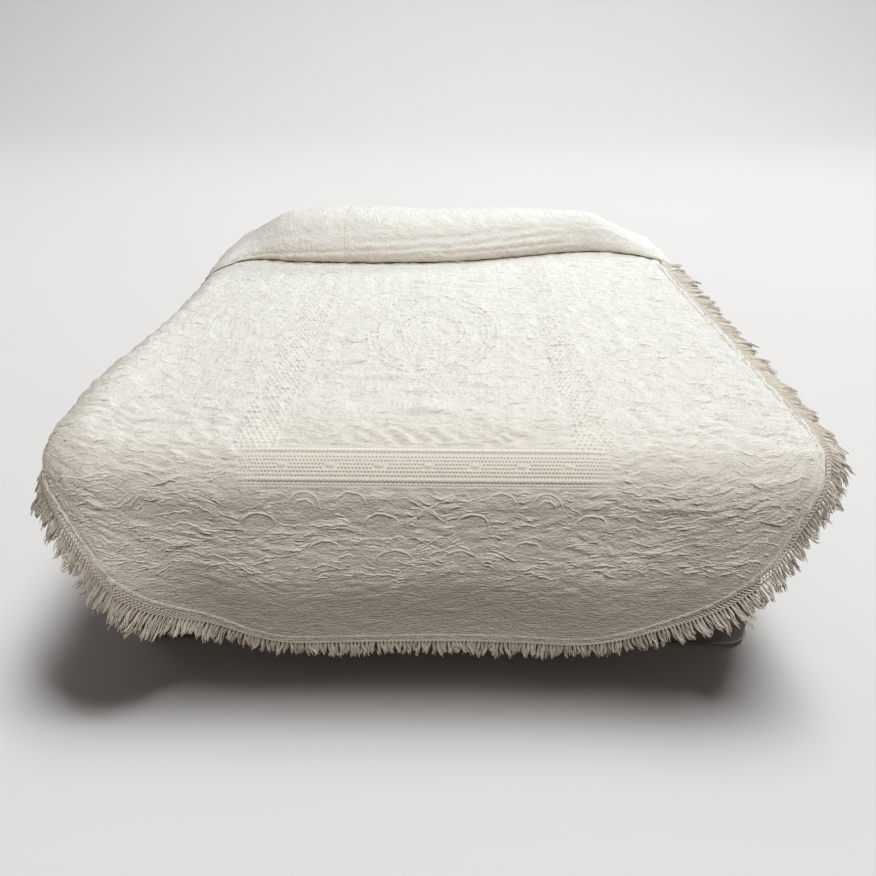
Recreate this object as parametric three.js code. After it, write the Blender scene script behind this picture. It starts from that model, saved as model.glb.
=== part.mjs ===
// Matelasse bedspread with a netted fringe, spread over a plain bed and tucked round two pillows.
// Millimetres. +X runs across the bed, +Y from its foot to its head, +Z up.
// The origin is on the floor under the middle of the base.

import * as THREE from "three";

// Bed
const REST_GAP = 0.5;
const BASE = { width: 1640, length: 1780, height: 360, corner: 60 };
const MATTRESS = { width: 1816, length: 1930, height: 260, corner: 170, topEdge: 118, bottomEdge: 36 };
const PILLOW = { height: 116, fullness: 2.5 };
const PILLOWS = [
  { side: "left", across: -378, along: 652, turn: 0, width: 620, depth: 310 },
  { side: "right", across: 264, along: 700, turn: 9, width: 550, depth: 224 },
];

// Bedspread, cut flat with two rounded foot corners
const CLOTH_THICKNESS = 3;
const CLOTH_HALF_WIDTH = 930;
const FOOT_CORNER_RADIUS = 605;
const FOOT_CORNER_CURVE = { left: 1.7, right: 2 }; // 2 is a quarter circle, less is cut nearer to straight across
const FOOT_OVERHANG = 560;
const SIDE_SHIFT = -30;
const DRAWN_IN = { left: { foot: 0, fold: 0.01 }, right: { foot: 0.036, fold: 0.085 } };
const SIDE_SHIFT_ON_PILLOWS = -40;
const CLOTH_CLEARANCE = 2;
const CLOTH_TOP = BASE.height + REST_GAP + MATTRESS.height + CLOTH_CLEARANCE + CLOTH_THICKNESS / 2;

// How it turns over the mattress edge: a roll round an inset rectangle, then a straight drop
const ROLL_RADIUS = 112;
const INSET = { across: 810, along: 868, corner: 60 };
const DROP_FLARE = THREE.MathUtils.degToRad(2.5);
const WINGS = [
  { side: -1, flare: THREE.MathUtils.degToRad(9), from: 520, to: 800 },
  { side: 1, flare: THREE.MathUtils.degToRad(2), from: 480, to: 800 },
];

// Soft ridges and hollows of the hanging cloth, in its flat sizes measured from the foot hem
const SOFT_FOLDS = [
  { across: -890, along: 830, spreadAcross: 110, spreadAlong: 250, lift: 34 },
  { across: -560, along: 60, spreadAcross: 55, spreadAlong: 120, lift: -15 },
  { across: -330, along: 100, spreadAcross: 90, spreadAlong: 140, lift: 9 },
  { across: 90, along: 80, spreadAcross: 120, spreadAlong: 120, lift: -8 },
  { across: 420, along: 110, spreadAcross: 80, spreadAlong: 150, lift: 9 },
  { across: 690, along: 330, spreadAcross: 80, spreadAlong: 130, lift: 12 },
];

// Raised quilting: a frame band round the middle field, an oval medallion and an outer field of puffs
const FRAME_BAND = { halfWidth: 435, width: 90, foot: 440, height: 2.5, step: 6 };
const MEDALLION = { along: 1190, halfAcross: 205, halfAlong: 300, ridge: 0.3, height: 2.5 };
const PUFFS = { pitchAcross: 190, pitchAlong: 160, height: 1.4 };

// Tuck under the pillows and the roll over them
const TUCK_SHARE = 0.2;
const LAYER_SPACING = 6;
const LAYER_ENDS = { from: 0.3, to: 0.6 };
const HEM_DRAWN_IN = 34;
const HEAD_DROPS = [22, 48, 80];
const FOLD_LINE = [
  { across: -950, along: 365 },
  { across: -830, along: 382 },
  { across: -775, along: 455 },
  { across: -700, along: 470 },
  { across: -584, along: 443 },
  { across: -300, along: 431 },
  { across: -60, along: 438 },
  { across: 100, along: 465 },
  { across: 290, along: 522 },
  { across: 420, along: 565 },
  { across: 556, along: 592 },
  { across: 680, along: 562 },
  { across: 785, along: 489 },
  { across: 850, along: 432 },
  { across: 930, along: 410 },
];
const CREST_LINE = [
  { across: -990, height: 1 },
  { across: -905, height: 8 },
  { across: -834, height: 30 },
  { across: -743, height: 78 },
  { across: -678, height: 114 },
  { across: -600, height: 138 },
  { across: -360, height: 156 },
  { across: -50, height: 143 },
  { across: 300, height: 140 },
  { across: 513, height: 126 },
  { across: 590, height: 116 },
  { across: 680, height: 70 },
  { across: 790, height: 9 },
  { across: 930, height: 1 },
];
const PILLOW_ROLL = [
  { along: TUCK_SHARE, up: 0.0 },
  { along: 0.08, up: 0.0 },
  { along: 0.0, up: 0.012 },
  { along: -0.035, up: 0.06 },
  { along: -0.05, up: 0.17 },
  { along: -0.052, up: 0.32 },
  { along: -0.035, up: 0.5 },
  { along: 0.01, up: 0.69 },
  { along: 0.1, up: 0.85 },
  { along: 0.24, up: 0.96 },
  { along: 0.45, up: 1.0 },
  { along: 0.66, up: 0.95 },
  { along: 0.81, up: 0.81 },
  { along: 0.91, up: 0.55 },
  { along: 1.0, up: 0.08 },
];

// Fringe: a netted heading strip beyond the hem, with locks hanging from it
const FRINGE = { gap: 3, endGap: 0.3, heading: 20, thickness: 4, lockPitch: 22, lockThickness: 7 };
const LOCK_SHAPE = { belly: 0.36, tip: 0.2, sway: 0.12 };
const LOCK_UNEVEN = { length: 0.3, lift: 8 };
const LOCKS = {
  side: { length: 55, lift: 16 },
  rightCorner: { length: 58, lift: 13 },
  foot: { length: 47, lift: 4 },
  leftCorner: { length: 62, lift: 28 },
};
const FRINGE_END = { left: 340, right: 392 };

// Resolution of the faceted solids, and the cloth's cross lines below and above the foot end of its frame
const ROWS_BELOW_FRAME = [0, 75, 150, 225, 300, 365, 402];
const ROWS_ABOVE_FRAME = [568, 650, 760];
const STEPS = {
  field: 11, centre: 4, corner: 10, turn: 4, pillowRoll: 18, arc: 5, edge: 5, pillowRound: 20, pillowRise: 10,
};

const material = (name, color, roughness) => (
  new THREE.MeshStandardMaterial({ name, color, roughness, metalness: 0 })
);
const quiltedCotton = material("quilted_cotton", 0xf0efe9, 0.9);
const fringeCotton = material("fringe_cotton", 0xe3d9c4, 0.92);
const ticking = material("mattress_ticking", 0xe6e3da, 0.88);
const pillowCase = material("pillow_case", 0xf2f0ea, 0.9);
const baseCloth = material("base_cloth", 0x55514c, 0.9);

const { lerp, smoothstep, clamp } = THREE.MathUtils;
const vec = (x, y, z) => new THREE.Vector3(x, y, z);

// Smooth curve through a table of rows, flat beyond its ends
function curveThrough(rows, key, value) {
  const slope = (i) => {
    const before = rows[Math.max(i - 1, 0)];
    const after = rows[Math.min(i + 1, rows.length - 1)];
    return (after[value] - before[value]) / (after[key] - before[key]);
  };
  return (at) => {
    const place = clamp(at, rows[0][key], rows[rows.length - 1][key]);
    const next = clamp(rows.findIndex((row) => row[key] >= place), 1, rows.length - 1);
    const [low, high] = [rows[next - 1], rows[next]];
    const span = high[key] - low[key];
    const t = (place - low[key]) / span;
    const blend = t * t * (3 - 2 * t);
    const lift = t * (1 - t) * span * ((1 - t) * slope(next - 1) - t * slope(next));
    return lerp(low[value], high[value], blend) + lift;
  };
}

// Repeatable unevenness between -1 and 1
function uneven(seed) {
  const wave = Math.sin(seed * 127.1 + 11.7) * 43758.5453;
  return 2 * (wave - Math.floor(wave)) - 1;
}

const foldLine = curveThrough(FOLD_LINE, "across", "along");
const crestLine = curveThrough(CREST_LINE, "across", "height");
const rollSpline = new THREE.SplineCurve(PILLOW_ROLL.map((row) => new THREE.Vector2(row.along, row.up)));

// Outward lean of the hanging cloth: slight at the foot, more in the two corner wings
function flareAt(x, y) {
  if (y > 0) return DROP_FLARE;
  const wing = WINGS.find((row) => row.side === (x < 0 ? -1 : 1));
  return DROP_FLARE + wing.flare * smoothstep(Math.abs(x), wing.from, wing.to);
}

// Place on the bed's top, carried over its rounded edges wherever it lies beyond them
function drape(x, y) {
  const across = Math.max(Math.abs(x) - INSET.across + INSET.corner, 0);
  const along = Math.max(Math.abs(y) - INSET.along + INSET.corner, 0);
  const reach = Math.hypot(across, along);
  const over = Math.max(reach - INSET.corner, 0);
  if (over === 0) return vec(x, y, CLOTH_TOP);
  const steepest = Math.PI / 2 - flareAt(x, y);
  const turn = Math.min(over / ROLL_RADIUS, steepest);
  const straight = over - ROLL_RADIUS * turn;
  const out = ROLL_RADIUS * Math.sin(turn) + straight * Math.cos(steepest);
  const down = ROLL_RADIUS * (1 - Math.cos(turn)) + straight * Math.sin(steepest);
  const pulled = (out - over) / reach;
  return vec(x + Math.sign(x) * across * pulled, y + Math.sign(y) * along * pulled, CLOTH_TOP - down);
}

// Unit normal of any surface place(a, b), by small steps
function normalOf(place, a, b) {
  const h = 0.5;
  const alongA = place(a + h, b).sub(place(a - h, b));
  const alongB = place(a, b + h).sub(place(a, b - h));
  return alongA.cross(alongB).normalize();
}

// Flat cloth to bed: u across from the cloth's middle, v along from its foot hem
const footStart = -INSET.along - FOOT_OVERHANG;
const clothLength = foldLine(0) - footStart;
const bedAcross = (u, v) => {
  const drawn = u < 0 ? DRAWN_IN.left : DRAWN_IN.right;
  return u * (1 - lerp(drawn.foot, drawn.fold, smoothstep(v, 0, clothLength))) + SIDE_SHIFT;
};
const bedAlong = (v) => footStart + v;

function softFold(u, v) {
  return SOFT_FOLDS.reduce((sum, row) => {
    const a = (u - row.across) / row.spreadAcross;
    const b = (v - row.along) / row.spreadAlong;
    return sum + row.lift * Math.exp(-(a * a + b * b) / 2);
  }, 0);
}

function spreadPoint(u, v) {
  const onBed = (a, b) => drape(bedAcross(a, b), bedAlong(b));
  return onBed(u, v).addScaledVector(normalOf(onBed, u, v), softFold(u, v));
}

// Height of the quilting above the plain cloth
function quilting(u, v) {
  const { halfWidth, width, foot, height, step } = FRAME_BAND;
  const depth = Math.min(halfWidth - Math.abs(u), v - foot);
  if (depth >= width + step) {
    const oval = Math.hypot(u / MEDALLION.halfAcross, (v - MEDALLION.along) / MEDALLION.halfAlong);
    return MEDALLION.height * Math.exp(-(((oval - 1) / MEDALLION.ridge) ** 2));
  }
  if (depth > -step) {
    const innerEdge = smoothstep(depth, width - step, width + step);
    return height * smoothstep(depth, -step, step) * (1 - innerEdge);
  }
  const puff = Math.sin((Math.PI * u) / PUFFS.pitchAcross) * Math.sin((Math.PI * v) / PUFFS.pitchAlong);
  return PUFFS.height * puff * puff;
}

// Foot hem: straight in the middle, a rounded cut at each corner
function hemAlong(u) {
  const curve = u < 0 ? FOOT_CORNER_CURVE.left : FOOT_CORNER_CURVE.right;
  const inCorner = Math.max(Math.abs(u) - CLOTH_HALF_WIDTH + FOOT_CORNER_RADIUS, 0) / FOOT_CORNER_RADIUS;
  return FOOT_CORNER_RADIUS * (1 - Math.max(1 - inCorner ** curve, 0) ** (1 / curve));
}

// Columns of the cloth from its middle outwards, with a line on each side of the frame band's steps
function clothColumns() {
  const { halfWidth, width, step } = FRAME_BAND;
  const inner = halfWidth - width - step;
  const half = [];
  for (let i = 1; i < STEPS.centre; i += 1) half.push((inner * i) / STEPS.centre);
  half.push(inner, inner + 2 * step, halfWidth - width / 2, halfWidth - step, halfWidth + step);
  const straightHalf = CLOTH_HALF_WIDTH - FOOT_CORNER_RADIUS;
  const firstAngle = Math.asin((halfWidth + step - straightHalf) / FOOT_CORNER_RADIUS);
  for (let i = 1; i <= STEPS.corner; i += 1) {
    const angle = lerp(firstAngle, Math.PI / 2, i / STEPS.corner);
    half.push(straightHalf + FOOT_CORNER_RADIUS * Math.sin(angle));
  }
  return [...half.map((u) => -u).reverse(), 0, ...half];
}

// Rows of the cloth from the foot hem to the head hem: where each lies for a column, and its quilting
function clothRows() {
  const { width, foot, step } = FRAME_BAND;
  const frameRows = [foot - step, foot + step, foot + width / 2, foot + width - step, foot + width + step];
  const straightFrom = ROWS_ABOVE_FRAME[ROWS_ABOVE_FRAME.length - 1];
  const rows = [...ROWS_BELOW_FRAME, ...frameRows, ...ROWS_ABOVE_FRAME].map((v) => (u) => {
    const hem = hemAlong(u);
    const along = hem + (v / straightFrom) * (straightFrom - hem);
    return { point: spreadPoint(u, along), raised: quilting(u, along) };
  });

  const foldAt = (u) => foldLine(bedAcross(u, clothLength));
  const tuckEndAt = (u) => lerp(foldAt(u), INSET.along, TUCK_SHARE);
  for (let i = 1; i <= STEPS.field; i += 1) {
    rows.push((u) => {
      const along = lerp(straightFrom, foldAt(u) - footStart, i / STEPS.field);
      const showing = i < STEPS.field ? 1 : 0;
      return { point: spreadPoint(u, along), raised: quilting(u, along) * showing };
    });
  }

  const layered = (x, y, height) => ({
    point: drape(x, y).addScaledVector(normalOf(drape, x, y), height), raised: 0,
  });
  const tuckAcross = (u, share) => lerp(bedAcross(u, clothLength), u + SIDE_SHIFT_ON_PILLOWS, share);
  for (const share of [0.5, 1]) {
    rows.push((u) => layered(tuckAcross(u, share / 2), lerp(foldAt(u), tuckEndAt(u), share), 0));
  }
  for (let i = 1; i < STEPS.turn; i += 1) {
    const angle = (Math.PI * i) / STEPS.turn;
    const radius = LAYER_SPACING / 2;
    const out = radius * Math.sin(angle);
    const up = radius * (1 - Math.cos(angle));
    rows.push((u) => layered(tuckAcross(u, 0.5), tuckEndAt(u) + out, up));
  }
  for (let i = 0; i <= STEPS.pillowRoll; i += 1) {
    const section = rollSpline.getPoint(i / STEPS.pillowRoll);
    const freed = lerp(0.5, 1, clamp((2 * i) / STEPS.pillowRoll, 0, 1));
    rows.push((u) => {
      const x = tuckAcross(u, freed) - HEM_DRAWN_IN * section.y * (u / CLOTH_HALF_WIDTH) ** 3;
      const y = lerp(foldAt(u), INSET.along, section.x);
      const layer = LAYER_SPACING * (1 - smoothstep(section.x, LAYER_ENDS.from, LAYER_ENDS.to));
      return layered(x, y, layer + section.y * crestLine(x));
    });
  }
  for (const drop of HEAD_DROPS) {
    rows.push((u) => layered(u + SIDE_SHIFT_ON_PILLOWS, INSET.along + drop, 0));
  }
  return rows;
}

// Closed mesh from indexed corners
function solid(points, triangles) {
  const geometry = new THREE.BufferGeometry();
  const corners = points.flatMap((p) => [p.x, p.y, p.z]);
  geometry.setAttribute("position", new THREE.Float32BufferAttribute(corners, 3));
  geometry.setIndex(triangles.flat());
  geometry.computeVertexNormals();
  return geometry;
}

const quad = (a, b, c, d) => [[a, b, c], [a, c, d]];

// The whole spread as one sheet: two faces half a thickness off the middle, joined round the hem
function bedspreadGeometry() {
  const columns = clothColumns();
  const grid = clothRows().map((row) => columns.map((u) => row(u)));
  const lastRow = grid.length - 1;
  const lastColumn = columns.length - 1;
  const points = [];
  for (const face of [1, -1]) {
    grid.forEach((row, j) => row.forEach((cell, i) => {
      const across = row[Math.min(i + 1, lastColumn)].point.clone().sub(row[Math.max(i - 1, 0)].point);
      const along = grid[Math.min(j + 1, lastRow)][i].point.clone().sub(grid[Math.max(j - 1, 0)][i].point);
      const off = (face * CLOTH_THICKNESS) / 2 + (face > 0 ? cell.raised : 0);
      points.push(cell.point.clone().addScaledVector(across.cross(along).normalize(), off));
    }));
  }

  const upper = (j, i) => j * columns.length + i;
  const lower = (j, i) => grid.length * columns.length + upper(j, i);
  const triangles = [];
  for (let j = 0; j < lastRow; j += 1) {
    for (let i = 0; i < lastColumn; i += 1) {
      triangles.push(...quad(upper(j, i), upper(j, i + 1), upper(j + 1, i + 1), upper(j + 1, i)));
      triangles.push(...quad(lower(j, i), lower(j + 1, i), lower(j + 1, i + 1), lower(j, i + 1)));
    }
  }
  for (let i = 0; i < lastColumn; i += 1) {
    triangles.push(...quad(upper(0, i), lower(0, i), lower(0, i + 1), upper(0, i + 1)));
    const [end, next] = [upper(lastRow, i), upper(lastRow, i + 1)];
    triangles.push(...quad(end, next, lower(lastRow, i + 1), lower(lastRow, i)));
  }
  for (let j = 0; j < lastRow; j += 1) {
    triangles.push(...quad(upper(j, 0), upper(j + 1, 0), lower(j + 1, 0), lower(j, 0)));
    const [side, next] = [upper(j, lastColumn), upper(j + 1, lastColumn)];
    triangles.push(...quad(side, lower(j, lastColumn), lower(j + 1, lastColumn), next));
  }
  return solid(points, triangles);
}

// Runs of the fringed hem, clockwise from the right side: flat place and outward direction at share t
const cornerCentre = CLOTH_HALF_WIDTH - FOOT_CORNER_RADIUS;
const sideRun = (side, end, t) => ({
  u: side * CLOTH_HALF_WIDTH, v: lerp(end - footStart, FOOT_CORNER_RADIUS, t), outU: side, outV: 0,
});
const signedPower = (x, power) => Math.sign(x) * Math.abs(x) ** power;
const cornerRun = (side, t) => {
  const curve = side < 0 ? FOOT_CORNER_CURVE.left : FOOT_CORNER_CURVE.right;
  const across = Math.cos((t * Math.PI) / 2);
  const down = Math.sin((t * Math.PI) / 2);
  const facing = 2 - 2 / curve;
  const out = new THREE.Vector2(signedPower(across, facing), signedPower(down, facing)).normalize();
  return {
    u: side * (cornerCentre + FOOT_CORNER_RADIUS * signedPower(across, 2 / curve)),
    v: FOOT_CORNER_RADIUS * (1 - signedPower(down, 2 / curve)),
    outU: side * out.x,
    outV: -out.y,
  };
};
const footRun = (t) => ({ u: lerp(cornerCentre, -cornerCentre, t), v: 0, outU: 0, outV: -1 });
const FRINGE_RUNS = [
  { name: "fringe_right_side", locks: LOCKS.side, at: (t) => sideRun(1, FRINGE_END.right, t) },
  { name: "fringe_right_corner", locks: LOCKS.rightCorner, at: (t) => cornerRun(1, t) },
  { name: "fringe_foot", locks: LOCKS.foot, at: footRun },
  { name: "fringe_left_corner", locks: LOCKS.leftCorner, at: (t) => cornerRun(-1, 1 - t) },
  { name: "fringe_left_side", locks: LOCKS.side, at: (t) => sideRun(-1, FRINGE_END.left, 1 - t) },
];

// Shares of a run that part it into equal lengths along the hanging hem
function evenShares(place, pitch) {
  const fine = 240;
  const lengths = [0];
  for (let k = 1; k <= fine; k += 1) {
    lengths.push(lengths[k - 1] + place(k / fine, 0).distanceTo(place((k - 1) / fine, 0)));
  }
  const count = Math.round(lengths[fine] / pitch);
  return Array.from({ length: count + 1 }, (_, n) => {
    const wanted = (lengths[fine] * n) / count;
    const k = clamp(lengths.findIndex((length) => length >= wanted), 1, fine);
    return (k - 1 + (wanted - lengths[k - 1]) / (lengths[k] - lengths[k - 1])) / fine;
  });
}

// One run of fringe: the heading strip, and a four-sided lock hanging from each bay of it
function fringeGeometry(run, seed) {
  const place = (t, reach) => {
    const hem = run.at(t);
    return spreadPoint(hem.u + hem.outU * reach, hem.v + hem.outV * reach);
  };
  const frameAt = (t, reach) => {
    const step = 0.002;
    const along = place(t + step, reach).sub(place(t - step, reach)).normalize();
    const outward = place(t, reach + 1).sub(place(t, reach - 1)).normalize();
    return { point: place(t, reach), along, face: along.clone().cross(outward) };
  };
  const inset = FRINGE.endGap / FRINGE.lockPitch;
  const shares = evenShares(place, FRINGE.lockPitch);
  shares[0] = lerp(shares[0], shares[1], inset);
  shares[shares.length - 1] = lerp(shares[shares.length - 1], shares[shares.length - 2], inset);

  const points = [];
  const triangles = [];
  const add = (frame, lift, sideways) => {
    points.push(frame.point.clone().addScaledVector(frame.face, lift).addScaledVector(frame.along, sideways));
    return points.length - 1;
  };
  const half = FRINGE.thickness / 2;
  const stations = shares.map((t) => {
    const hemSide = frameAt(t, FRINGE.gap);
    const lockSide = frameAt(t, FRINGE.heading);
    return [add(hemSide, half, 0), add(lockSide, half, 0), add(lockSide, -half, 0), add(hemSide, -half, 0)];
  });
  triangles.push(...quad(...stations[0]));
  triangles.push(...quad(...[...stations[stations.length - 1]].reverse()));

  for (let n = 0; n + 1 < stations.length; n += 1) {
    const [a, b] = [stations[n], stations[n + 1]];
    triangles.push(...quad(a[0], b[0], b[1], a[1]));
    triangles.push(...quad(a[2], b[2], b[3], a[3]));
    triangles.push(...quad(a[3], b[3], b[0], a[0]));

    const middle = (shares[n] + shares[n + 1]) / 2;
    const length = run.locks.length * (1 + LOCK_UNEVEN.length * uneven(seed + 3 * n));
    const lean = uneven(seed + 3 * n + 1);
    const lift = run.locks.lift + LOCK_UNEVEN.lift * uneven(seed + 3 * n + 2);
    const bellyReach = FRINGE.heading + length / 2;
    const spacing = place(shares[n], bellyReach).distanceTo(place(shares[n + 1], bellyReach));
    const belly = frameAt(middle, bellyReach);
    const tip = frameAt(middle, FRINGE.heading + length);
    const wide = LOCK_SHAPE.belly * spacing;
    const thick = FRINGE.lockThickness / 2;
    const shift = LOCK_SHAPE.sway * lean * spacing;
    const ring = [
      add(belly, lift / 2 + thick, shift - wide),
      add(belly, lift / 2 + thick, shift + wide),
      add(belly, lift / 2 - thick, shift + wide),
      add(belly, lift / 2 - thick, shift - wide),
    ];
    const left = add(tip, lift, 2 * shift - LOCK_SHAPE.tip * spacing);
    const right = add(tip, lift, 2 * shift + LOCK_SHAPE.tip * spacing);
    const root = [a[1], b[1], b[2], a[2]];
    for (let k = 0; k < 4; k += 1) {
      triangles.push(...quad(root[k], root[(k + 1) % 4], ring[(k + 1) % 4], ring[k]));
    }
    triangles.push(...quad(ring[0], ring[1], right, left), [ring[1], ring[2], right]);
    triangles.push(...quad(ring[2], ring[3], left, right), [ring[3], ring[0], left]);
  }
  return solid(points, triangles);
}

// Rounded rectangle outline, anticlockwise
function roundedOutline(halfWidth, halfLength, radius) {
  const outline = [];
  const centres = [[1, 1], [-1, 1], [-1, -1], [1, -1]];
  centres.forEach(([sx, sy], corner) => {
    for (let i = 0; i <= STEPS.arc; i += 1) {
      const angle = (Math.PI / 2) * (corner + i / STEPS.arc);
      outline.push(new THREE.Vector2(
        sx * (halfWidth - radius) + radius * Math.cos(angle),
        sy * (halfLength - radius) + radius * Math.sin(angle),
      ));
    }
  });
  return outline;
}

// Skin over a stack of like rings, closed by a fan at each end
function stackedRings(rings) {
  const count = rings[0].length;
  const points = rings.flat();
  const triangles = [];
  for (let j = 0; j + 1 < rings.length; j += 1) {
    for (let i = 0; i < count; i += 1) {
      const next = (i + 1) % count;
      triangles.push(...quad(j * count + i, j * count + next, (j + 1) * count + next, (j + 1) * count + i));
    }
  }
  const top = (rings.length - 1) * count;
  for (let i = 1; i + 1 < count; i += 1) {
    triangles.push([0, i + 1, i]);
    triangles.push([top, top + i, top + i + 1]);
  }
  return solid(points, triangles);
}

// Mattress: the plan outline drawn in along a small lower and a large upper rounded edge
function mattressGeometry() {
  const sections = [];
  const edges = [
    { radius: MATTRESS.bottomEdge, centre: MATTRESS.bottomEdge, turnFrom: -1 },
    { radius: MATTRESS.topEdge, centre: MATTRESS.height - MATTRESS.topEdge, turnFrom: 0 },
  ];
  for (const { radius, centre, turnFrom } of edges) {
    for (let i = 0; i <= STEPS.edge; i += 1) {
      const angle = (Math.PI / 2) * (turnFrom + i / STEPS.edge);
      sections.push({ inset: radius * (1 - Math.cos(angle)), height: centre + radius * Math.sin(angle) });
    }
  }
  return stackedRings(sections.map(({ inset, height }) => roundedOutline(
    MATTRESS.width / 2 - inset, MATTRESS.length / 2 - inset, MATTRESS.corner - inset,
  ).map((p) => vec(p.x, p.y, height))));
}

// Pillow: a plump closed form, fuller than an ellipsoid
function pillowGeometry(width, depth) {
  const power = 2 / PILLOW.fullness;
  const full = (value) => Math.sign(value) * Math.abs(value) ** power;
  const rings = [];
  for (let j = 1; j < STEPS.pillowRise; j += 1) {
    const rise = Math.PI * (j / STEPS.pillowRise - 0.5);
    rings.push(Array.from({ length: STEPS.pillowRound }, (_, i) => {
      const angle = (2 * Math.PI * i) / STEPS.pillowRound;
      return vec(
        (width / 2) * full(Math.cos(angle)) * full(Math.cos(rise)),
        (depth / 2) * full(Math.sin(angle)) * full(Math.cos(rise)),
        (PILLOW.height / 2) * full(Math.sin(rise)),
      );
    }));
  }
  return stackedRings(rings);
}

function namedMesh(name, geometry, finish, z = 0) {
  const mesh = new THREE.Mesh(geometry, finish);
  mesh.name = name;
  mesh.position.z = z;
  return mesh;
}

// Bed: base on the floor, mattress on the base, pillows inside the fold of the spread
const bed = new THREE.Group();
const baseOutline = new THREE.Shape(roundedOutline(BASE.width / 2, BASE.length / 2, BASE.corner));
const baseGeometry = new THREE.ExtrudeGeometry(baseOutline, { depth: BASE.height, bevelEnabled: false });
bed.add(namedMesh("bed_base", baseGeometry, baseCloth));
bed.add(namedMesh("mattress", mattressGeometry(), ticking, BASE.height + REST_GAP));
const pillowRest = CLOTH_TOP + LAYER_SPACING + CLOTH_THICKNESS / 2 + CLOTH_CLEARANCE + PILLOW.height / 2;
for (const { side, across, along, turn, width, depth } of PILLOWS) {
  const pillow = namedMesh(`pillow_${side}`, pillowGeometry(width, depth), pillowCase);
  pillow.position.set(across, along, pillowRest);
  pillow.rotation.z = THREE.MathUtils.degToRad(turn);
  bed.add(pillow);
}

// Bedspread and the five runs of its fringe
const spread = new THREE.Group();
spread.add(namedMesh("bedspread", bedspreadGeometry(), quiltedCotton));
FRINGE_RUNS.forEach((run, n) => {
  spread.add(namedMesh(run.name, fringeGeometry(run, 1000 * n), fringeCotton));
});

const part = new THREE.Group();
part.add(bed, spread);

export default part;
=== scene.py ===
import math

import bpy
import numpy as np
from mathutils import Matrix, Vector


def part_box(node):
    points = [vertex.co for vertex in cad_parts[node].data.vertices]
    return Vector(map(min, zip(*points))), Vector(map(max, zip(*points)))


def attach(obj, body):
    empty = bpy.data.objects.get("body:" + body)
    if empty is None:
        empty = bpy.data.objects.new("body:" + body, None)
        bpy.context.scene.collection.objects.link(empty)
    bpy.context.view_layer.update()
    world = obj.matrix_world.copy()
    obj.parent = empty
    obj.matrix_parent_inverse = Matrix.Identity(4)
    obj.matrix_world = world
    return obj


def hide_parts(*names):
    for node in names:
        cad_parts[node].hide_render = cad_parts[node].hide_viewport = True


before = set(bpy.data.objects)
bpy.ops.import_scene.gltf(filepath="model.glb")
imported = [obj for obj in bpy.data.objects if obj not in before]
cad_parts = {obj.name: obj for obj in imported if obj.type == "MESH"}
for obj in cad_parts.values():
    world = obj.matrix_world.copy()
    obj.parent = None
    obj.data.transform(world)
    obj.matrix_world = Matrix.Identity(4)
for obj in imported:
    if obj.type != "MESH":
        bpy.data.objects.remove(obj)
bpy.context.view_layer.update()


# Bed base: a plain box frame that stands on the floor, covered in woven upholstery cloth whose dark grey is
# painted shade, standing in for the shadow under the bed.
# A corded welt is sewn into the cover along its upper and lower edges.


def solid_corners(node):
    """Lowest and highest corner of a solid."""
    return [np.array(corner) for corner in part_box(node)]


BASE_LOW, BASE_HIGH = solid_corners("bed_base")
BASE_TOP = BASE_HIGH[2]
BASE_CORNER = 0.060
BASE_EDGE = 0.014
BASE_BEVEL = {"rise": 0.004, "inset": 0.005}
BASE_WELT = 0.0035
PIPING_SIDES = 8
BASE_SLACK = 0.0015
BASE_STEP = 0.020
BASE_WEAVE = 0.0032
# Painted shade: both tones of the base cloth are dark so that the base reads as the shadow under the bed.
BASE_SHADE_DARK = (0.15, 0.142, 0.135, 1)
BASE_SHADE_PALE = (0.25, 0.238, 0.225, 1)
BASE_SECTION = [
    (0.0, BASE_EDGE),
    (BASE_BEVEL["rise"], BASE_BEVEL["inset"]),
    (BASE_EDGE, 0.0),
    (0.12, -BASE_SLACK),
    (0.24, -BASE_SLACK),
    (BASE_TOP - BASE_EDGE, 0.0),
    (BASE_TOP - BASE_BEVEL["rise"], BASE_BEVEL["inset"]),
    (BASE_TOP, BASE_EDGE),
]


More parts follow.
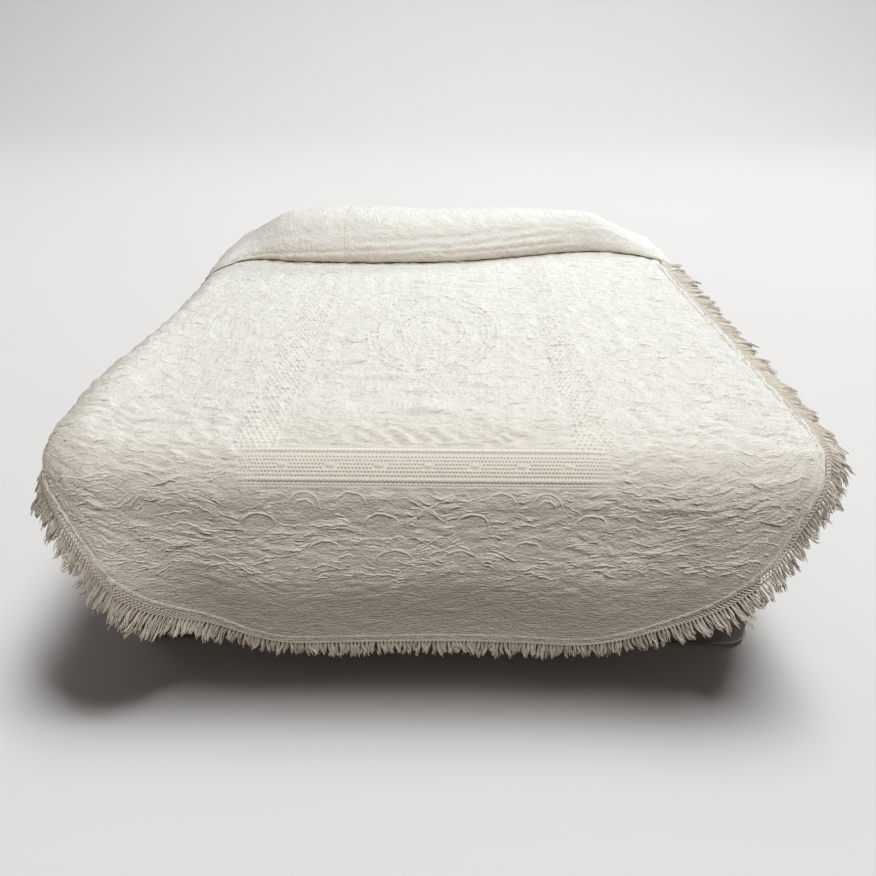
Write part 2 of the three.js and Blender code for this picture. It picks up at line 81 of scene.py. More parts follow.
class Socket:
    """An output of a material's nodes. Sums and products of sockets add the nodes that work them out."""

    def __init__(self, tree, output):
        self.tree = tree
        self.output = output

    def node(self, kind, settings, sockets, result=0):
        made = self.tree.nodes.new(kind)
        for name, value in settings.items():
            setattr(made, name, value)
        for key, value in sockets.items():
            if isinstance(value, Socket):
                self.tree.links.new(value.output, made.inputs[key])
            else:
                made.inputs[key].default_value = value
        return Socket(self.tree, made.outputs[result])

    def math(self, operation, *values):
        return self.node("ShaderNodeMath", {"operation": operation}, dict(enumerate(values)))

    def __add__(self, other):
        return self.math("ADD", self, other)

    def __radd__(self, other):
        return self.math("ADD", other, self)

    def __sub__(self, other):
        return self.math("SUBTRACT", self, other)

    def __rsub__(self, other):
        return self.math("SUBTRACT", other, self)

    def __mul__(self, other):
        return self.math("MULTIPLY", self, other)

    def __rmul__(self, other):
        return self.math("MULTIPLY", other, self)

    def __abs__(self):
        return self.math("ABSOLUTE", self)

    def wave(self, pitch):
        """Rises and falls between -1 and 1 once in each pitch."""
        return self.math("SINE", self * (2 * math.pi / pitch))

    def step(self, low, high):
        """Goes smoothly from 0 at low to 1 at high."""
        settings = {"interpolation_type": "SMOOTHSTEP"}
        return self.node("ShaderNodeMapRange", settings, {0: self, 1: low, 2: high})

    def axes(self):
        split = self.node("ShaderNodeSeparateXYZ", {}, {0: self})
        return [Socket(self.tree, output) for output in split.output.node.outputs]

    def stretched(self, across, along, up):
        settings = {"operation": "MULTIPLY"}
        return self.node("ShaderNodeVectorMath", settings, {0: self, 1: (across, along, up)})

    def noise(self, scale, detail, roughness=0.5, distortion=0.0, kind="FBM"):
        sockets = {"Vector": self, "Scale": scale, "Detail": detail}
        sockets.update({"Roughness": roughness, "Distortion": distortion})
        return self.node("ShaderNodeTexNoise", {"noise_type": kind}, sockets)

    def carried(self, name, output):
        """A value that the corners of a piece carry."""
        return self.node("ShaderNodeAttribute", {"attribute_name": name}, {}, output)

    def tint(self, none, full):
        """Colour between two, by this socket as the share."""
        return self.node("ShaderNodeMix", {"data_type": "RGBA"}, {0: self, 6: none, 7: full}, 2)

    def bump(self, distance, strength=1.0):
        sockets = {"Height": self, "Distance": distance, "Strength": strength}
        return self.node("ShaderNodeBump", {}, sockets)

    def feed(self, shader, name):
        self.tree.links.new(self.output, shader.inputs[name])


def new_finish(name, even_values):
    """A material, its shader with the even values set, and the place on the object to start from."""
    material = bpy.data.materials.new(name)
    material.use_nodes = True
    tree = material.node_tree
    shader = tree.nodes["Principled BSDF"]
    for socket, value in even_values.items():
        shader.inputs[socket].default_value = value
    place = Socket(tree, tree.nodes.new("ShaderNodeTexCoord").outputs["Object"])
    return material, shader, place


def new_object(name, points, faces, material):
    mesh = bpy.data.meshes.new(name)
    mesh.from_pydata(np.reshape(points, (-1, 3)).tolist(), [], faces)
    mesh.shade_smooth()
    mesh.materials.append(material)
    made = bpy.data.objects.new(name, mesh)
    bpy.context.scene.collection.objects.link(made)
    return made


def add_piece(name, points, faces, material, sharp_degrees=50):
    piece = new_object(name, points, faces, material)
    piece.data.set_sharp_from_angle(angle=math.radians(sharp_degrees))
    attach(piece, "root")
    return piece


def lengths_along(places):
    return np.append(0, np.cumsum(np.linalg.norm(np.diff(places, axis=0), axis=1)))


def rounded_outline(half_width, half_length, corner, step):
    """Even places round a rounded rectangle, anticlockwise, and the outward direction at each."""
    steps = 32
    angles = np.linspace(0, 2 * np.pi, 4 * steps + 1)
    quarter = np.append(np.repeat(np.arange(4), steps), 3)
    side_x = np.array([1, -1, -1, 1])[quarter]
    side_y = np.array([1, 1, -1, -1])[quarter]
    directions = np.stack([np.cos(angles), np.sin(angles)], -1)
    centres = np.stack([side_x * (half_width - corner), side_y * (half_length - corner)], -1)
    places = centres + corner * directions
    places[-1] = places[0]
    lengths = lengths_along(places)
    even = np.linspace(0, lengths[-1], int(lengths[-1] / step), endpoint=False)
    spaced = np.stack([np.interp(even, lengths, places[:, k]) for k in range(2)], -1)
    outward = np.stack([np.interp(even, lengths, directions[:, k]) for k in range(2)], -1)
    return spaced, outward / np.linalg.norm(outward, axis=1, keepdims=True)


def skin(rings):
    """Faces over a stack of like closed rings, with a flat cap at each end."""
    count = len(rings[0])
    faces = []
    for j in range(len(rings) - 1):
        low, high = j * count, (j + 1) * count
        for i in range(count):
            k = (i + 1) % count
            faces.append((low + i, low + k, high + k, high + i))
    last = (len(rings) - 1) * count
    faces.append(tuple(reversed(range(count))))
    faces.append(tuple(range(last, last + count)))
    return faces


def unit(vectors):
    return vectors / np.maximum(np.linalg.norm(vectors, axis=-1, keepdims=True), 1e-12)


def round_section(sides):
    angles = 2 * np.pi * np.arange(sides) / sides
    return np.stack([np.cos(angles), np.sin(angles)], -1)


def cords(paths, lifts, radii, section, closed=False):
    """Corners and faces of cords along paths, shaped (cord, step, axis). Lifts are their upper sides."""
    if closed:
        tangents = np.roll(paths, -1, axis=1) - np.roll(paths, 1, axis=1)
    else:
        tangents = np.gradient(paths, axis=1)
    across = unit(np.cross(tangents, lifts))
    upward = unit(np.cross(across, tangents))
    ring = across[:, :, None] * section[:, :1] + upward[:, :, None] * section[:, 1:]
    points = paths[:, :, None] + np.broadcast_to(radii, paths.shape[:2])[:, :, None, None] * ring
    count, steps = paths.shape[:2]
    index = np.arange(count * steps * len(section)).reshape(count, steps, len(section))
    start = index if closed else index[:, :-1]
    end = np.roll(index, -1, axis=1) if closed else index[:, 1:]
    around = [start, end, np.roll(end, -1, axis=2), np.roll(start, -1, axis=2)]
    faces = np.stack(around, -1).reshape(-1, 4).tolist()
    if not closed:
        faces += index[:, 0].tolist()
        faces += index[:, -1, ::-1].tolist()
    return points.reshape(-1, 3), faces


def joined(*meshes):
    """Several sets of corners and faces as one."""
    points, faces, start = [], [], 0
    for some_points, some_faces in meshes:
        points.append(np.reshape(some_points, (-1, 3)))
        faces += [tuple(start + corner for corner in face) for face in some_faces]
        start += len(points[-1])
    return np.concatenate(points), faces


def lifted(outline, height):
    return np.column_stack([outline, np.full(len(outline), height)])


def piping(outline, outward, heights, radius, set_out):
    """Corded edges sewn round an outline at some heights, set out by a share of their radius."""
    edges = []
    for height in heights:
        path = lifted(outline + set_out * radius * outward, height)[None]
        upward = np.broadcast_to([0.0, 0.0, 1.0], path.shape)
        edges.append(cords(path, upward, radius, round_section(PIPING_SIDES), closed=True))
    return edges


base_half = (BASE_HIGH - BASE_LOW) / 2
base_line, base_out = rounded_outline(base_half[0], base_half[1], BASE_CORNER, BASE_STEP)
base_rings = [lifted(base_line - inset * base_out, height) for height, inset in BASE_SECTION]
welts = piping(base_line, base_out, (BASE_EDGE, BASE_TOP - BASE_EDGE), BASE_WELT, set_out=0.5)

base_cloth, shader, place = new_finish("base_cloth", {"Sheen Weight": 0.25, "Sheen Roughness": 0.5})
x, y, z = place.axes()
weave = (x + y).wave(BASE_WEAVE) * z.wave(BASE_WEAVE)
slub = place.stretched(1.0, 1.0, 14.0).noise(scale=24.0, detail=4.0)
(slub * 0.7 + weave * 0.15).tint(BASE_SHADE_DARK, BASE_SHADE_PALE).feed(shader, "Base Color")
(0.82 + 0.12 * slub).feed(shader, "Roughness")
(weave * 0.5 + slub).bump(distance=0.0012, strength=0.7).feed(shader, "Normal")

base_points, base_faces = joined((np.concatenate(base_rings), skin(base_rings)), *welts)
base = add_piece("upholstered_base", base_points, base_faces, base_cloth)
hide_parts("bed_base")


# Mattress: a sprung and padded block in striped cotton ticking, with a deep round upper edge.
# Its border is sewn to the top and bottom panels with a corded piping, which puckers the ticking.

MATTRESS_LOW, MATTRESS_HIGH = solid_corners("mattress")
MATTRESS_CORNER = 0.170
MATTRESS_TOP_EDGE = 0.118
MATTRESS_LOW_EDGE = 0.036
MATTRESS_UNDERSIDE = 0.3
MATTRESS_PIPING = 0.0045
MATTRESS_STEP = 0.0125
MATTRESS_RINGS = {"low_edge": 7, "border": 8, "top_edge": 14}
LEAST_CORNER = 0.001
LOW_SEAM = MATTRESS_LOW[2] + MATTRESS_LOW_EDGE
TOP_SEAM = MATTRESS_HIGH[2] - MATTRESS_TOP_EDGE
PUCKER = {"depth": 0.0014, "pitch": 0.052, "reach": 0.035, "stray": 2.0, "stray_rate": 3.1}
STRIPES = {"pitch": 0.048, "wide_edge": (0.12, 0.08), "fine_at": 0.34, "fine_edge": (0.035, 0.015)}
TWILL = 0.0024
TICKING_PALE = (0.78, 0.755, 0.69, 1)
TICKING_STRIPE = (0.44, 0.45, 0.47, 1)


def mattress_section():
    """Inset and height of each ring from the underside to the top."""
    section = [(MATTRESS_LOW_EDGE + MATTRESS_UNDERSIDE, MATTRESS_LOW[2])]
    for angle in np.linspace(-np.pi / 2, 0, MATTRESS_RINGS["low_edge"]):
        inset = MATTRESS_LOW_EDGE * (1 - math.cos(angle))
        section.append((inset, MATTRESS_LOW[2] + MATTRESS_LOW_EDGE * (1 + math.sin(angle))))
    for height in np.linspace(section[-1][1], TOP_SEAM, MATTRESS_RINGS["border"])[1:-1]:
        section.append((0.0, height))
    for angle in np.linspace(0, np.pi / 2, MATTRESS_RINGS["top_edge"]):
        inset = MATTRESS_TOP_EDGE * (1 - math.cos(angle))
        section.append((inset, TOP_SEAM + MATTRESS_TOP_EDGE * math.sin(angle)))
    return section


def mark(piece, name, values):
    """Give each corner of a piece a value that its finish reads."""
    kind, key = ("FLOAT", "value") if np.ndim(values) == 1 else ("FLOAT_VECTOR", "vector")
    piece.data.attributes.new(name, kind, "POINT").data.foreach_set(key, np.ravel(values))


mattress_half = (MATTRESS_HIGH - MATTRESS_LOW) / 2
mattress_line, mattress_out = rounded_outline(
    mattress_half[0], mattress_half[1], MATTRESS_CORNER, MATTRESS_STEP)
border = np.arange(len(mattress_line)) * MATTRESS_STEP
stray = PUCKER["stray"] * np.sin(border * PUCKER["stray_rate"])
waviness = np.sin(2 * np.pi * border / PUCKER["pitch"] + stray)
mattress_rings = []
ticking_place = []
for inset, height in mattress_section():
    nearest = min(abs(height - seam) for seam in (LOW_SEAM, TOP_SEAM))
    gather = math.exp(-((nearest / PUCKER["reach"]) ** 2))
    drawn_in = inset + PUCKER["depth"] * gather * (1 + waviness)
    within_corner = np.minimum(drawn_in, MATTRESS_CORNER - LEAST_CORNER)
    mattress_rings.append(lifted(mattress_line - within_corner[:, None] * mattress_out, height))
    up_border = np.full(len(border), height - inset)
    ticking_place.append(np.column_stack([border, up_border, np.zeros(len(border))]))
pipings = piping(mattress_line, mattress_out, (LOW_SEAM, TOP_SEAM), MATTRESS_PIPING, set_out=0.25)

ticking, shader, place = new_finish("striped_ticking", {"Sheen Weight": 0.12, "Sheen Roughness": 0.4})
along, up, _ = place.carried("flat", "Vector").axes()
share = along.math("FRACT", along * (1 / STRIPES["pitch"]))
from_middle = abs(share - 0.5)
wide = from_middle.step(*STRIPES["wide_edge"])
fine = abs(from_middle - STRIPES["fine_at"]).step(*STRIPES["fine_edge"])
twill = (along + up).wave(TWILL)
fibre = place.noise(scale=160.0, detail=3.0)
stripe = wide.math("MAXIMUM", wide, fine)
(stripe * 0.75 + 0.12 * fibre).tint(TICKING_PALE, TICKING_STRIPE).feed(shader, "Base Color")
(0.84 + 0.1 * fibre).feed(shader, "Roughness")
(twill * 0.4 + fibre).bump(distance=0.0008, strength=0.6).feed(shader, "Normal")

ticking_mesh = (np.concatenate(mattress_rings), skin(mattress_rings))
mattress_points, mattress_faces = joined(ticking_mesh, *pipings)
mattress = add_piece("ticking_mattress", mattress_points, mattress_faces, ticking)
piping_place = np.zeros((len(mattress_points) - len(ticking_mesh[0]), 3))
mark(mattress, "flat", np.concatenate([*ticking_place, piping_place]))
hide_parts("mattress")


# Pillows: two filled cotton cases that lie inside the fold of the spread.
# Each is two panels sewn round the edge, so the corners are thin and the sides draw in between them.


def table(heads, *rows):
    """Rows of values, each as a dictionary under the same heads."""
    return [dict(zip(heads.split(), row)) for row in rows]


PILLOWS = table(
    "side across along turn width depth seed",
    ("left", -0.378, 0.652, 0.0, 0.620, 0.310, 40),
    ("right", 0.264, 0.700, 9.0, 0.550, 0.224, 50),
)
PILLOW_DRAWN_IN = 0.07
PILLOW_ROUND = 0.55
PILLOW_CRUMPLE = {"height": 0.0035, "rate": 22}
PILLOW_COLUMNS, PILLOW_ROWS = 49, 25
PILLOW_THREAD = 0.0016
PILLOW_SHADE = (0.80, 0.785, 0.74, 1)
PILLOW_PALE = (0.88, 0.87, 0.83, 1)
NOISE_CELLS = 512


def soft_noise(x, y, seed):
    """Smooth uneven values between about -1 and 1, the same at each run."""
    source = np.random.default_rng(seed)
    order = source.permutation(NOISE_CELLS)
    angles = source.uniform(0, 2 * np.pi, NOISE_CELLS)
    cell_x, cell_y = np.floor(x).astype(int), np.floor(y).astype(int)
    in_x, in_y = x - cell_x, y - cell_y

    def corner(step_x, step_y):
        turned = order[(cell_x + step_x) % NOISE_CELLS] + cell_y + step_y
        angle = angles[turned % NOISE_CELLS]
        return np.cos(angle) * (in_x - step_x) + np.sin(angle) * (in_y - step_y)

    def fade(t):
        return t**3 * (t * (t * 6 - 15) + 10)

    low = corner(0, 0) + (corner(1, 0) - corner(0, 0)) * fade(in_x)
    high = corner(0, 1) + (corner(1, 1) - corner(0, 1)) * fade(in_x)
    return 1.5 * (low + (high - low) * fade(in_y))


def quads(index):
    """Faces between neighbouring rows and columns of corners."""
    corners = [index[:-1, :-1], index[:-1, 1:], index[1:, 1:], index[1:, :-1]]
    return np.stack(corners, -1).reshape(-1, 4)


def turned_over(faces):
    return faces[:, [0, 3, 2, 1]]


def pillow_mesh(width, depth, height, seed):
    """A case of two crowned panels joined at the seam round its edge."""
    a, b = np.meshgrid(np.linspace(-1, 1, PILLOW_COLUMNS), np.linspace(-1, 1, PILLOW_ROWS))
    x = width / 2 * a * (1 - PILLOW_DRAWN_IN * (1 - b * b) * np.abs(a) ** 3)
    y = depth / 2 * b * (1 - PILLOW_DRAWN_IN * (1 - a * a) * np.abs(b) ** 3)
    crown = ((1 - a**4) * (1 - b**2)) ** PILLOW_ROUND
    panels = []
    for side in (1, -1):
        uneven = soft_noise(x * PILLOW_CRUMPLE["rate"], y * PILLOW_CRUMPLE["rate"], seed + side)
        crumple = PILLOW_CRUMPLE["height"] * uneven * crown
        z = side * (height / 2 - PILLOW_CRUMPLE["height"]) * crown + crumple
        panels.append(np.stack([x, y, z], -1).reshape(-1, 3))
    index = np.arange(a.size).reshape(a.shape)
    inner = np.zeros(a.shape, bool)
    inner[1:-1, 1:-1] = True
    lower = np.where(inner, index + a.size, index)
    faces = np.concatenate([quads(index), turned_over(quads(lower))])
    used, packed = np.unique(faces, return_inverse=True)
    return np.concatenate(panels)[used], packed.reshape(-1, 4).tolist()


pillow_cotton, shader, place = new_finish("pillow_cotton", {"Sheen Weight": 0.15, "Sheen Roughness": 0.4})
crease = place.noise(scale=26.0, detail=4.0, distortion=0.6)
x, y, _ = place.axes()
thread = x.wave(PILLOW_THREAD) * y.wave(PILLOW_THREAD)
# Painted shade: where the crease noise sinks the bump the cotton is coloured darker, and where it raises it,
# paler.
crease.tint(PILLOW_SHADE, PILLOW_PALE).feed(shader, "Base Color")
(0.86 + 0.08 * crease).feed(shader, "Roughness")
(crease + thread * 0.1).bump(distance=0.0025, strength=0.6).feed(shader, "Normal")

for row in PILLOWS:
    node = f"pillow_{row['side']}"
    low, high = solid_corners(node)
    points, faces = pillow_mesh(row["width"], row["depth"], high[2] - low[2], row["seed"])
    turn = math.radians(row["turn"])
    cosine, sine = math.cos(turn), math.sin(turn)
    points = points @ np.array([[cosine, sine, 0], [-sine, cosine, 0], [0, 0, 1]])
    points += [row["across"], row["along"], (low[2] + high[2]) / 2]
    pillow = add_piece(f"filled_{node}", points, faces, pillow_cotton)
    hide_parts(node)


# Bedspread: one cloth of double-woven cotton whose two layers are bound together in a raised pattern.
# It lies on the mattress, rolls over the foot edge, is tucked under the pillows and laid over them.

CLOTH_THICKNESS = 0.003
CLOTH_TOP = 0.624
HALF_WIDTH = 0.930
FOOT_CORNER = 0.605
CORNER_CURVE = {"left": 1.7, "right": 2.0}
BED_ACROSS = 0.810
BED_ALONG = 0.868
BED_CORNER = 0.060
FOOT_DROP = 0.560
FOOT_START = -BED_ALONG - FOOT_DROP
ROLL_RADIUS = 0.112
DROP_FLARE = math.radians(2.5)
WINGS = table(
    "side flare start full",
    (-1, math.radians(13), 0.500, 0.800),
    (1, math.radians(2), 0.480, 0.800),
)
SIDE_SHIFT = -0.030
PILLOW_SHIFT = -0.040
DRAWN_IN_FOOT = {"left": 0.0, "right": 0.036}
DRAWN_IN_FOLD = {"left": 0.01, "right": 0.085}
SOFT_FOLDS = table(
    "across along wide long lift",
    (0.000, 0.205, 0.500, 0.095, 0.022),
    (0.000, 0.670, 0.380, 0.045, 0.010),
    (-0.890, 0.830, 0.110, 0.250, 0.034),
    (-0.560, 0.060, 0.055, 0.120, -0.015),
    (-0.330, 0.100, 0.090, 0.140, 0.009),
    (0.090, 0.080, 0.120, 0.120, -0.008),
    (0.420, 0.110, 0.080, 0.150, 0.009),
    (0.690, 0.330, 0.080, 0.130, 0.012),
)
TUCK_SHARE = 0.2
TUCK_ROWS = (0.35, 0.7, 1.0)
TUCK_TURN_ROWS = 5
LAYER_SPACING = 0.006
LAYER_ENDS = (0.3, 0.6)
HEM_DRAWN_IN = 0.034
HEAD_DROPS = (0.012, 0.030, 0.055, 0.080)
FOLD_LINE = [
    (-0.950, 0.365), (-0.830, 0.382), (-0.775, 0.455), (-0.700, 0.470), (-0.584, 0.443),
    (-0.300, 0.431), (-0.060, 0.438), (0.100, 0.465), (0.290, 0.522), (0.420, 0.565),
    (0.556, 0.592), (0.680, 0.562), (0.785, 0.489), (0.850, 0.432), (0.930, 0.410),
]
CREST_LINE = [
    (-0.990, 0.001), (-0.905, 0.008), (-0.834, 0.030), (-0.743, 0.078), (-0.678, 0.114),
    (-0.600, 0.138), (-0.360, 0.156), (-0.050, 0.143), (0.300, 0.140), (0.513, 0.126),
    (0.590, 0.117), (0.680, 0.080), (0.760, 0.040), (0.840, 0.012), (0.930, 0.001),
]
PILLOW_ROLL = [
    (TUCK_SHARE, 0.0), (0.08, 0.0), (0.0, 0.008), (-0.032, 0.035), (-0.045, 0.12), (-0.030, 0.23),
    (-0.002, 0.36), (0.04, 0.51), (0.09, 0.67), (0.165, 0.82), (0.28, 0.945), (0.45, 1.0),
    (0.66, 0.95), (0.81, 0.81), (0.91, 0.55), (1.0, 0.08),
]
STRAIGHT_FROM = 0.760
FOOT_ROWS = [(0.0, 0.15, 24), (0.15, 0.62, 146), (0.62, STRAIGHT_FROM, 28)]
FOOT_COUNT = sum(count for _, _, count in FOOT_ROWS)
FIELD_ROWS, ROLL_ROWS = 122, 60


def smoothstep(x, low, high):
    t = np.clip((x - low) / (high - low), 0, 1)
    return t * t * (3 - 2 * t)


def curve_through(rows):
    """Smooth curve through a list of places and values, flat beyond its ends."""
    keys, values = np.array(rows).T
    slopes = np.gradient(values, keys)
    slopes[1:-1] = (values[2:] - values[:-2]) / (keys[2:] - keys[:-2])

    def at(place):
        held = np.clip(place, keys[0], keys[-1])
        high = np.clip(np.searchsorted(keys, held), 1, len(keys) - 1)
        span = keys[high] - keys[high - 1]
        t = (held - keys[high - 1]) / span
        lift = t * (1 - t) * span * ((1 - t) * slopes[high - 1] - t * slopes[high])
        return values[high - 1] + (values[high] - values[high - 1]) * t * t * (3 - 2 * t) + lift

    return at


def spline(rows, share):
    """Point on an even smooth spline through a list of points."""
    points = np.array(rows)
    at = share * (len(points) - 1)
    k = min(int(at), len(points) - 2)
    t = at - k
    before, start = points[max(k - 1, 0)], points[k]
    end, after = points[k + 1], points[min(k + 2, len(points) - 1)]
    leave, arrive = (end - before) / 2, (after - start) / 2
    cubed = 2 * start - 2 * end + leave + arrive
    squared = 3 * end - 3 * start - 2 * leave - arrive
    return cubed * t**3 + squared * t**2 + leave * t + start


fold_line = curve_through(FOLD_LINE)
crest_line = curve_through(CREST_LINE)
cloth_length = float(fold_line(0.0)) - FOOT_START


def flare_at(x, y):
    """Outward lean of the hanging cloth: slight at the foot, more in the two corner wings."""
    lean = np.full(np.shape(x), DROP_FLARE)
    for wing in WINGS:
        in_wing = (np.sign(x) == wing["side"]) * (y <= 0)
        lean = lean + in_wing * wing["flare"] * smoothstep(np.abs(x), wing["start"], wing["full"])
    return lean


def drape(x, y):
    """Place on the bed's top, carried over its rounded edges wherever it lies beyond them."""
    across = np.maximum(np.abs(x) - BED_ACROSS + BED_CORNER, 0)
    along = np.maximum(np.abs(y) - BED_ALONG + BED_CORNER, 0)
    reach = np.hypot(across, along)
    over = np.maximum(reach - BED_CORNER, 0)
    steepest = np.pi / 2 - flare_at(x, y)
    turn = np.minimum(over / ROLL_RADIUS, steepest)
    straight = over - ROLL_RADIUS * turn
    out = ROLL_RADIUS * np.sin(turn) + straight * np.cos(steepest)
    down = ROLL_RADIUS * (1 - np.cos(turn)) + straight * np.sin(steepest)
    pulled = (out - over) / np.maximum(reach, 1e-9)
    draped_x = x + np.sign(x) * across * pulled
    draped_y = y + np.sign(y) * along * pulled
    return np.stack([draped_x, draped_y, CLOTH_TOP - down], -1)


def normal_of(place, a, b):
    h = 0.0005
    return unit(np.cross(place(a + h, b) - place(a - h, b), place(a, b + h) - place(a, b - h)))


def by_side(u, values):
    return np.where(u < 0, values["left"], values["right"])


def bed_across(u, v):
    """Where the flat cloth lies across the bed: to one side, and drawn in more towards the pillows."""
    foot, fold = by_side(u, DRAWN_IN_FOOT), by_side(u, DRAWN_IN_FOLD)
    return u * (1 - foot - (fold - foot) * smoothstep(v, 0, cloth_length)) + SIDE_SHIFT


def on_bed(u, v):
    return drape(bed_across(u, v), FOOT_START + v)


def soft_fold(u, v):
    lift = np.zeros(np.shape(u))
    for row in SOFT_FOLDS:
        a = (u - row["across"]) / row["wide"]
        b = (v - row["along"]) / row["long"]
        lift = lift + row["lift"] * np.exp(-(a * a + b * b) / 2)
    return lift


def spread_point(u, v):
    """Place of the cloth's middle, u across from its centre line and v along from its foot hem when flat."""
    return on_bed(u, v) + normal_of(on_bed, u, v) * soft_fold(u, v)[..., None]


def hem_along(u):
    """Foot hem: straight in the middle, a rounded cut at each corner. A curve of 2 is a quarter circle."""
    curve = by_side(u, CORNER_CURVE)
    in_corner = np.maximum(np.abs(u) - HALF_WIDTH + FOOT_CORNER, 0) / FOOT_CORNER
    return FOOT_CORNER * (1 - np.maximum(1 - in_corner**curve, 0) ** (1 / curve))


def layered(x, y, height):
    return drape(x, y) + normal_of(drape, x, y) * np.broadcast_to(height, np.shape(x))[..., None]


def cloth_rows(u):
    """Rows of the cloth's middle from the foot hem to the head hem, and how far along each lies when flat."""
    rows, alongs = [], []

    def lay(along):
        rows.append(spread_point(u, along))
        alongs.append(along)

    hem = hem_along(u)
    cuts = [np.linspace(start, end, count, endpoint=False) for start, end, count in FOOT_ROWS]
    for cut in np.concatenate([*cuts, [STRAIGHT_FROM]]):
        lay(hem + cut / STRAIGHT_FROM * (STRAIGHT_FROM - hem))
    fold_x = bed_across(u, np.full(u.shape, cloth_length))
    fold_y = fold_line(fold_x)
    for share in np.linspace(0, 1, FIELD_ROWS + 1)[1:]:
        lay(STRAIGHT_FROM + share * (fold_y - FOOT_START - STRAIGHT_FROM))

    def tuck_across(share):
        return fold_x + (u + PILLOW_SHIFT - fold_x) * share

    tuck_y = fold_y + (BED_ALONG - fold_y) * TUCK_SHARE
    for share in TUCK_ROWS:
        rows.append(layered(tuck_across(share / 2), fold_y + (tuck_y - fold_y) * share, 0))
    radius = LAYER_SPACING / 2
    for angle in np.linspace(0, np.pi, TUCK_TURN_ROWS + 2)[1:-1]:
        turn_y = tuck_y + radius * math.sin(angle)
        rows.append(layered(tuck_across(0.5), turn_y, radius * (1 - math.cos(angle))))
    for share in np.linspace(0, 1, ROLL_ROWS + 1):
        along, up = spline(PILLOW_ROLL, share)
        freed = 0.5 + 0.5 * min(2 * share, 1)
        x = tuck_across(freed) - HEM_DRAWN_IN * up * (u / HALF_WIDTH) ** 3
        y = fold_y + (BED_ALONG - fold_y) * along
        layer = LAYER_SPACING * (1 - smoothstep(along, *LAYER_ENDS))
        rows.append(layered(x, y, layer + up * crest_line(x)))
    for drop in HEAD_DROPS:
        rows.append(layered(u + PILLOW_SHIFT, np.full(u.shape, BED_ALONG + drop), 0))
    while len(alongs) < len(rows):
        k = len(alongs)
        alongs.append(alongs[-1] + np.linalg.norm(rows[k] - rows[k - 1], axis=1))
    return np.array(rows), np.array(alongs)


# Raised pattern, drawn on the flat cloth: a frame band round a middle field with an oval medallion, slanting
# creases inside the frame's foot, puffed crinkles all over with a few deeper creases, and the long soft
# creases of the roll over the pillows.

FRAME_HALF = 0.435
FRAME_WIDTH = 0.090
FRAME_FOOT = 0.440
FRAME_RISE = 0.0015
FRAME_FADE = (0.350, 0.445)
FRAME_END = {"left": 1.850, "right": 1.970}
FRAME_OUTER_EDGE = (-0.012, 0.0)
FRAME_INNER_EDGE = (FRAME_WIDTH - 0.004, FRAME_WIDTH + 0.008)
FIELD_HALF = FRAME_HALF - FRAME_WIDTH
FIELD_FOOT = FRAME_FOOT + FRAME_WIDTH
FRAME_SIDE_START = (FIELD_FOOT, FIELD_FOOT + 0.10)
FRAME_SIDE_FLATTER = 0.8
DEEPEST_DIP = 0.0026
MEDALLION = {"along": 1.190, "across": 0.205, "long": 0.300}
MEDALLION_RINGS = table(
    "size half height",
    (1.00, 0.030, 0.0008),
    (0.82, 0.022, 0.0006),
    (0.45, 0.040, 0.0008),
)
LOOPS = table(
    "across along wide high point",
    (0.000, 0.362, 0.026, 0.032, 0.6),
    (0.103, 0.350, 0.036, 0.027, 0.0),
    (0.168, 0.402, 0.032, 0.024, 0.0),
    (0.271, 0.392, 0.034, 0.034, 0.0),
    (0.271, 0.390, 0.020, 0.020, 0.0),
    (0.231, 0.286, 0.032, 0.022, 0.0),
    (0.375, 0.350, 0.036, 0.026, 0.0),
    (0.075, 0.262, 0.040, 0.024, 0.3),
)
LOOP_GROUND = {"up": 0.3, "flattened": 0.6}
WANDER = table(
    "far across along seed",
    (0.030, 0.16, 0.13, 3),
    (0.012, 0.055, 0.060, 4),
)
SLIDE = {"far": 0.050, "across": 0.25, "along": 0.22, "seed": 5}
PUFFS = table(
    "height across along slide bend seed",
    (0.85, 0.065, 0.030, 1, 1.0, 6),
    (0.50, 0.038, 0.019, -1, 1.3, 7),
)
PUFF_ROUND = 0.8
PUFF_MEAN = 0.40
CRINKLE_BY_ALONG = [
    (0.0, 0.0018), (0.13, 0.0028), (0.21, 0.0046), (0.30, 0.0060), (0.42, 0.0068), (0.54, 0.0096),
    (0.64, 0.0108), (0.95, 0.0104), (1.85, 0.0090), (2.02, 0.0060),
]
CRINKLE_SHARE = {"field": 0.8, "frame_side": 0.7}
CREASES = table(
    "across along long deep",
    (-0.010, 0.660, 0.055, 0.0080),
    (0.020, 0.780, 0.090, 0.0056),
    (0.120, 0.815, 0.070, 0.0064),
    (-0.130, 0.860, 0.080, 0.0056),
    (-0.215, 0.950, 0.060, 0.0085),
    (-0.255, 0.865, 0.040, 0.0064),
    (-0.240, 1.100, 0.050, 0.0070),
    (0.270, 1.130, 0.060, 0.0056),
    (-0.070, 1.620, 0.060, 0.0064),
    (0.130, 1.590, 0.050, 0.0056),
)
CREASE = {"half": 0.009, "lip": 1.1, "lip_at": 0.020, "lip_half": 0.012}
SLANTS = {"lean": 0.8, "pitch": 0.050, "height": 0.0042}
SLANTS_PLACE = {"across": -0.03, "half_across": 0.20, "along": 0.572, "half_along": 0.022}
ROLL_CREASES = table(
    "start end half deep lip",
    ((-0.86, 0.290), (0.62, 0.490), 0.020, 0.0042, 0.0036),
    ((-0.40, 0.440), (0.60, 0.560), 0.022, 0.0030, 0.0030),
    ((-0.10, 0.330), (0.70, 0.380), 0.018, 0.0034, 0.0030),
    ((-0.75, 0.500), (-0.15, 0.570), 0.024, 0.0026, 0.0026),
)
ROLL_CREASE = {"stray": 0.012, "pitch": 0.11, "fade_in": 0.15, "fade_out": 0.25, "seed": 61}
ROLL_LIP = {"below": 2.6, "half": 1.6}
BEND_FROM = 0.800
COLUMN_COUNTS = {"field": 35, "frame": 21, "side": 37, "bend": 22}
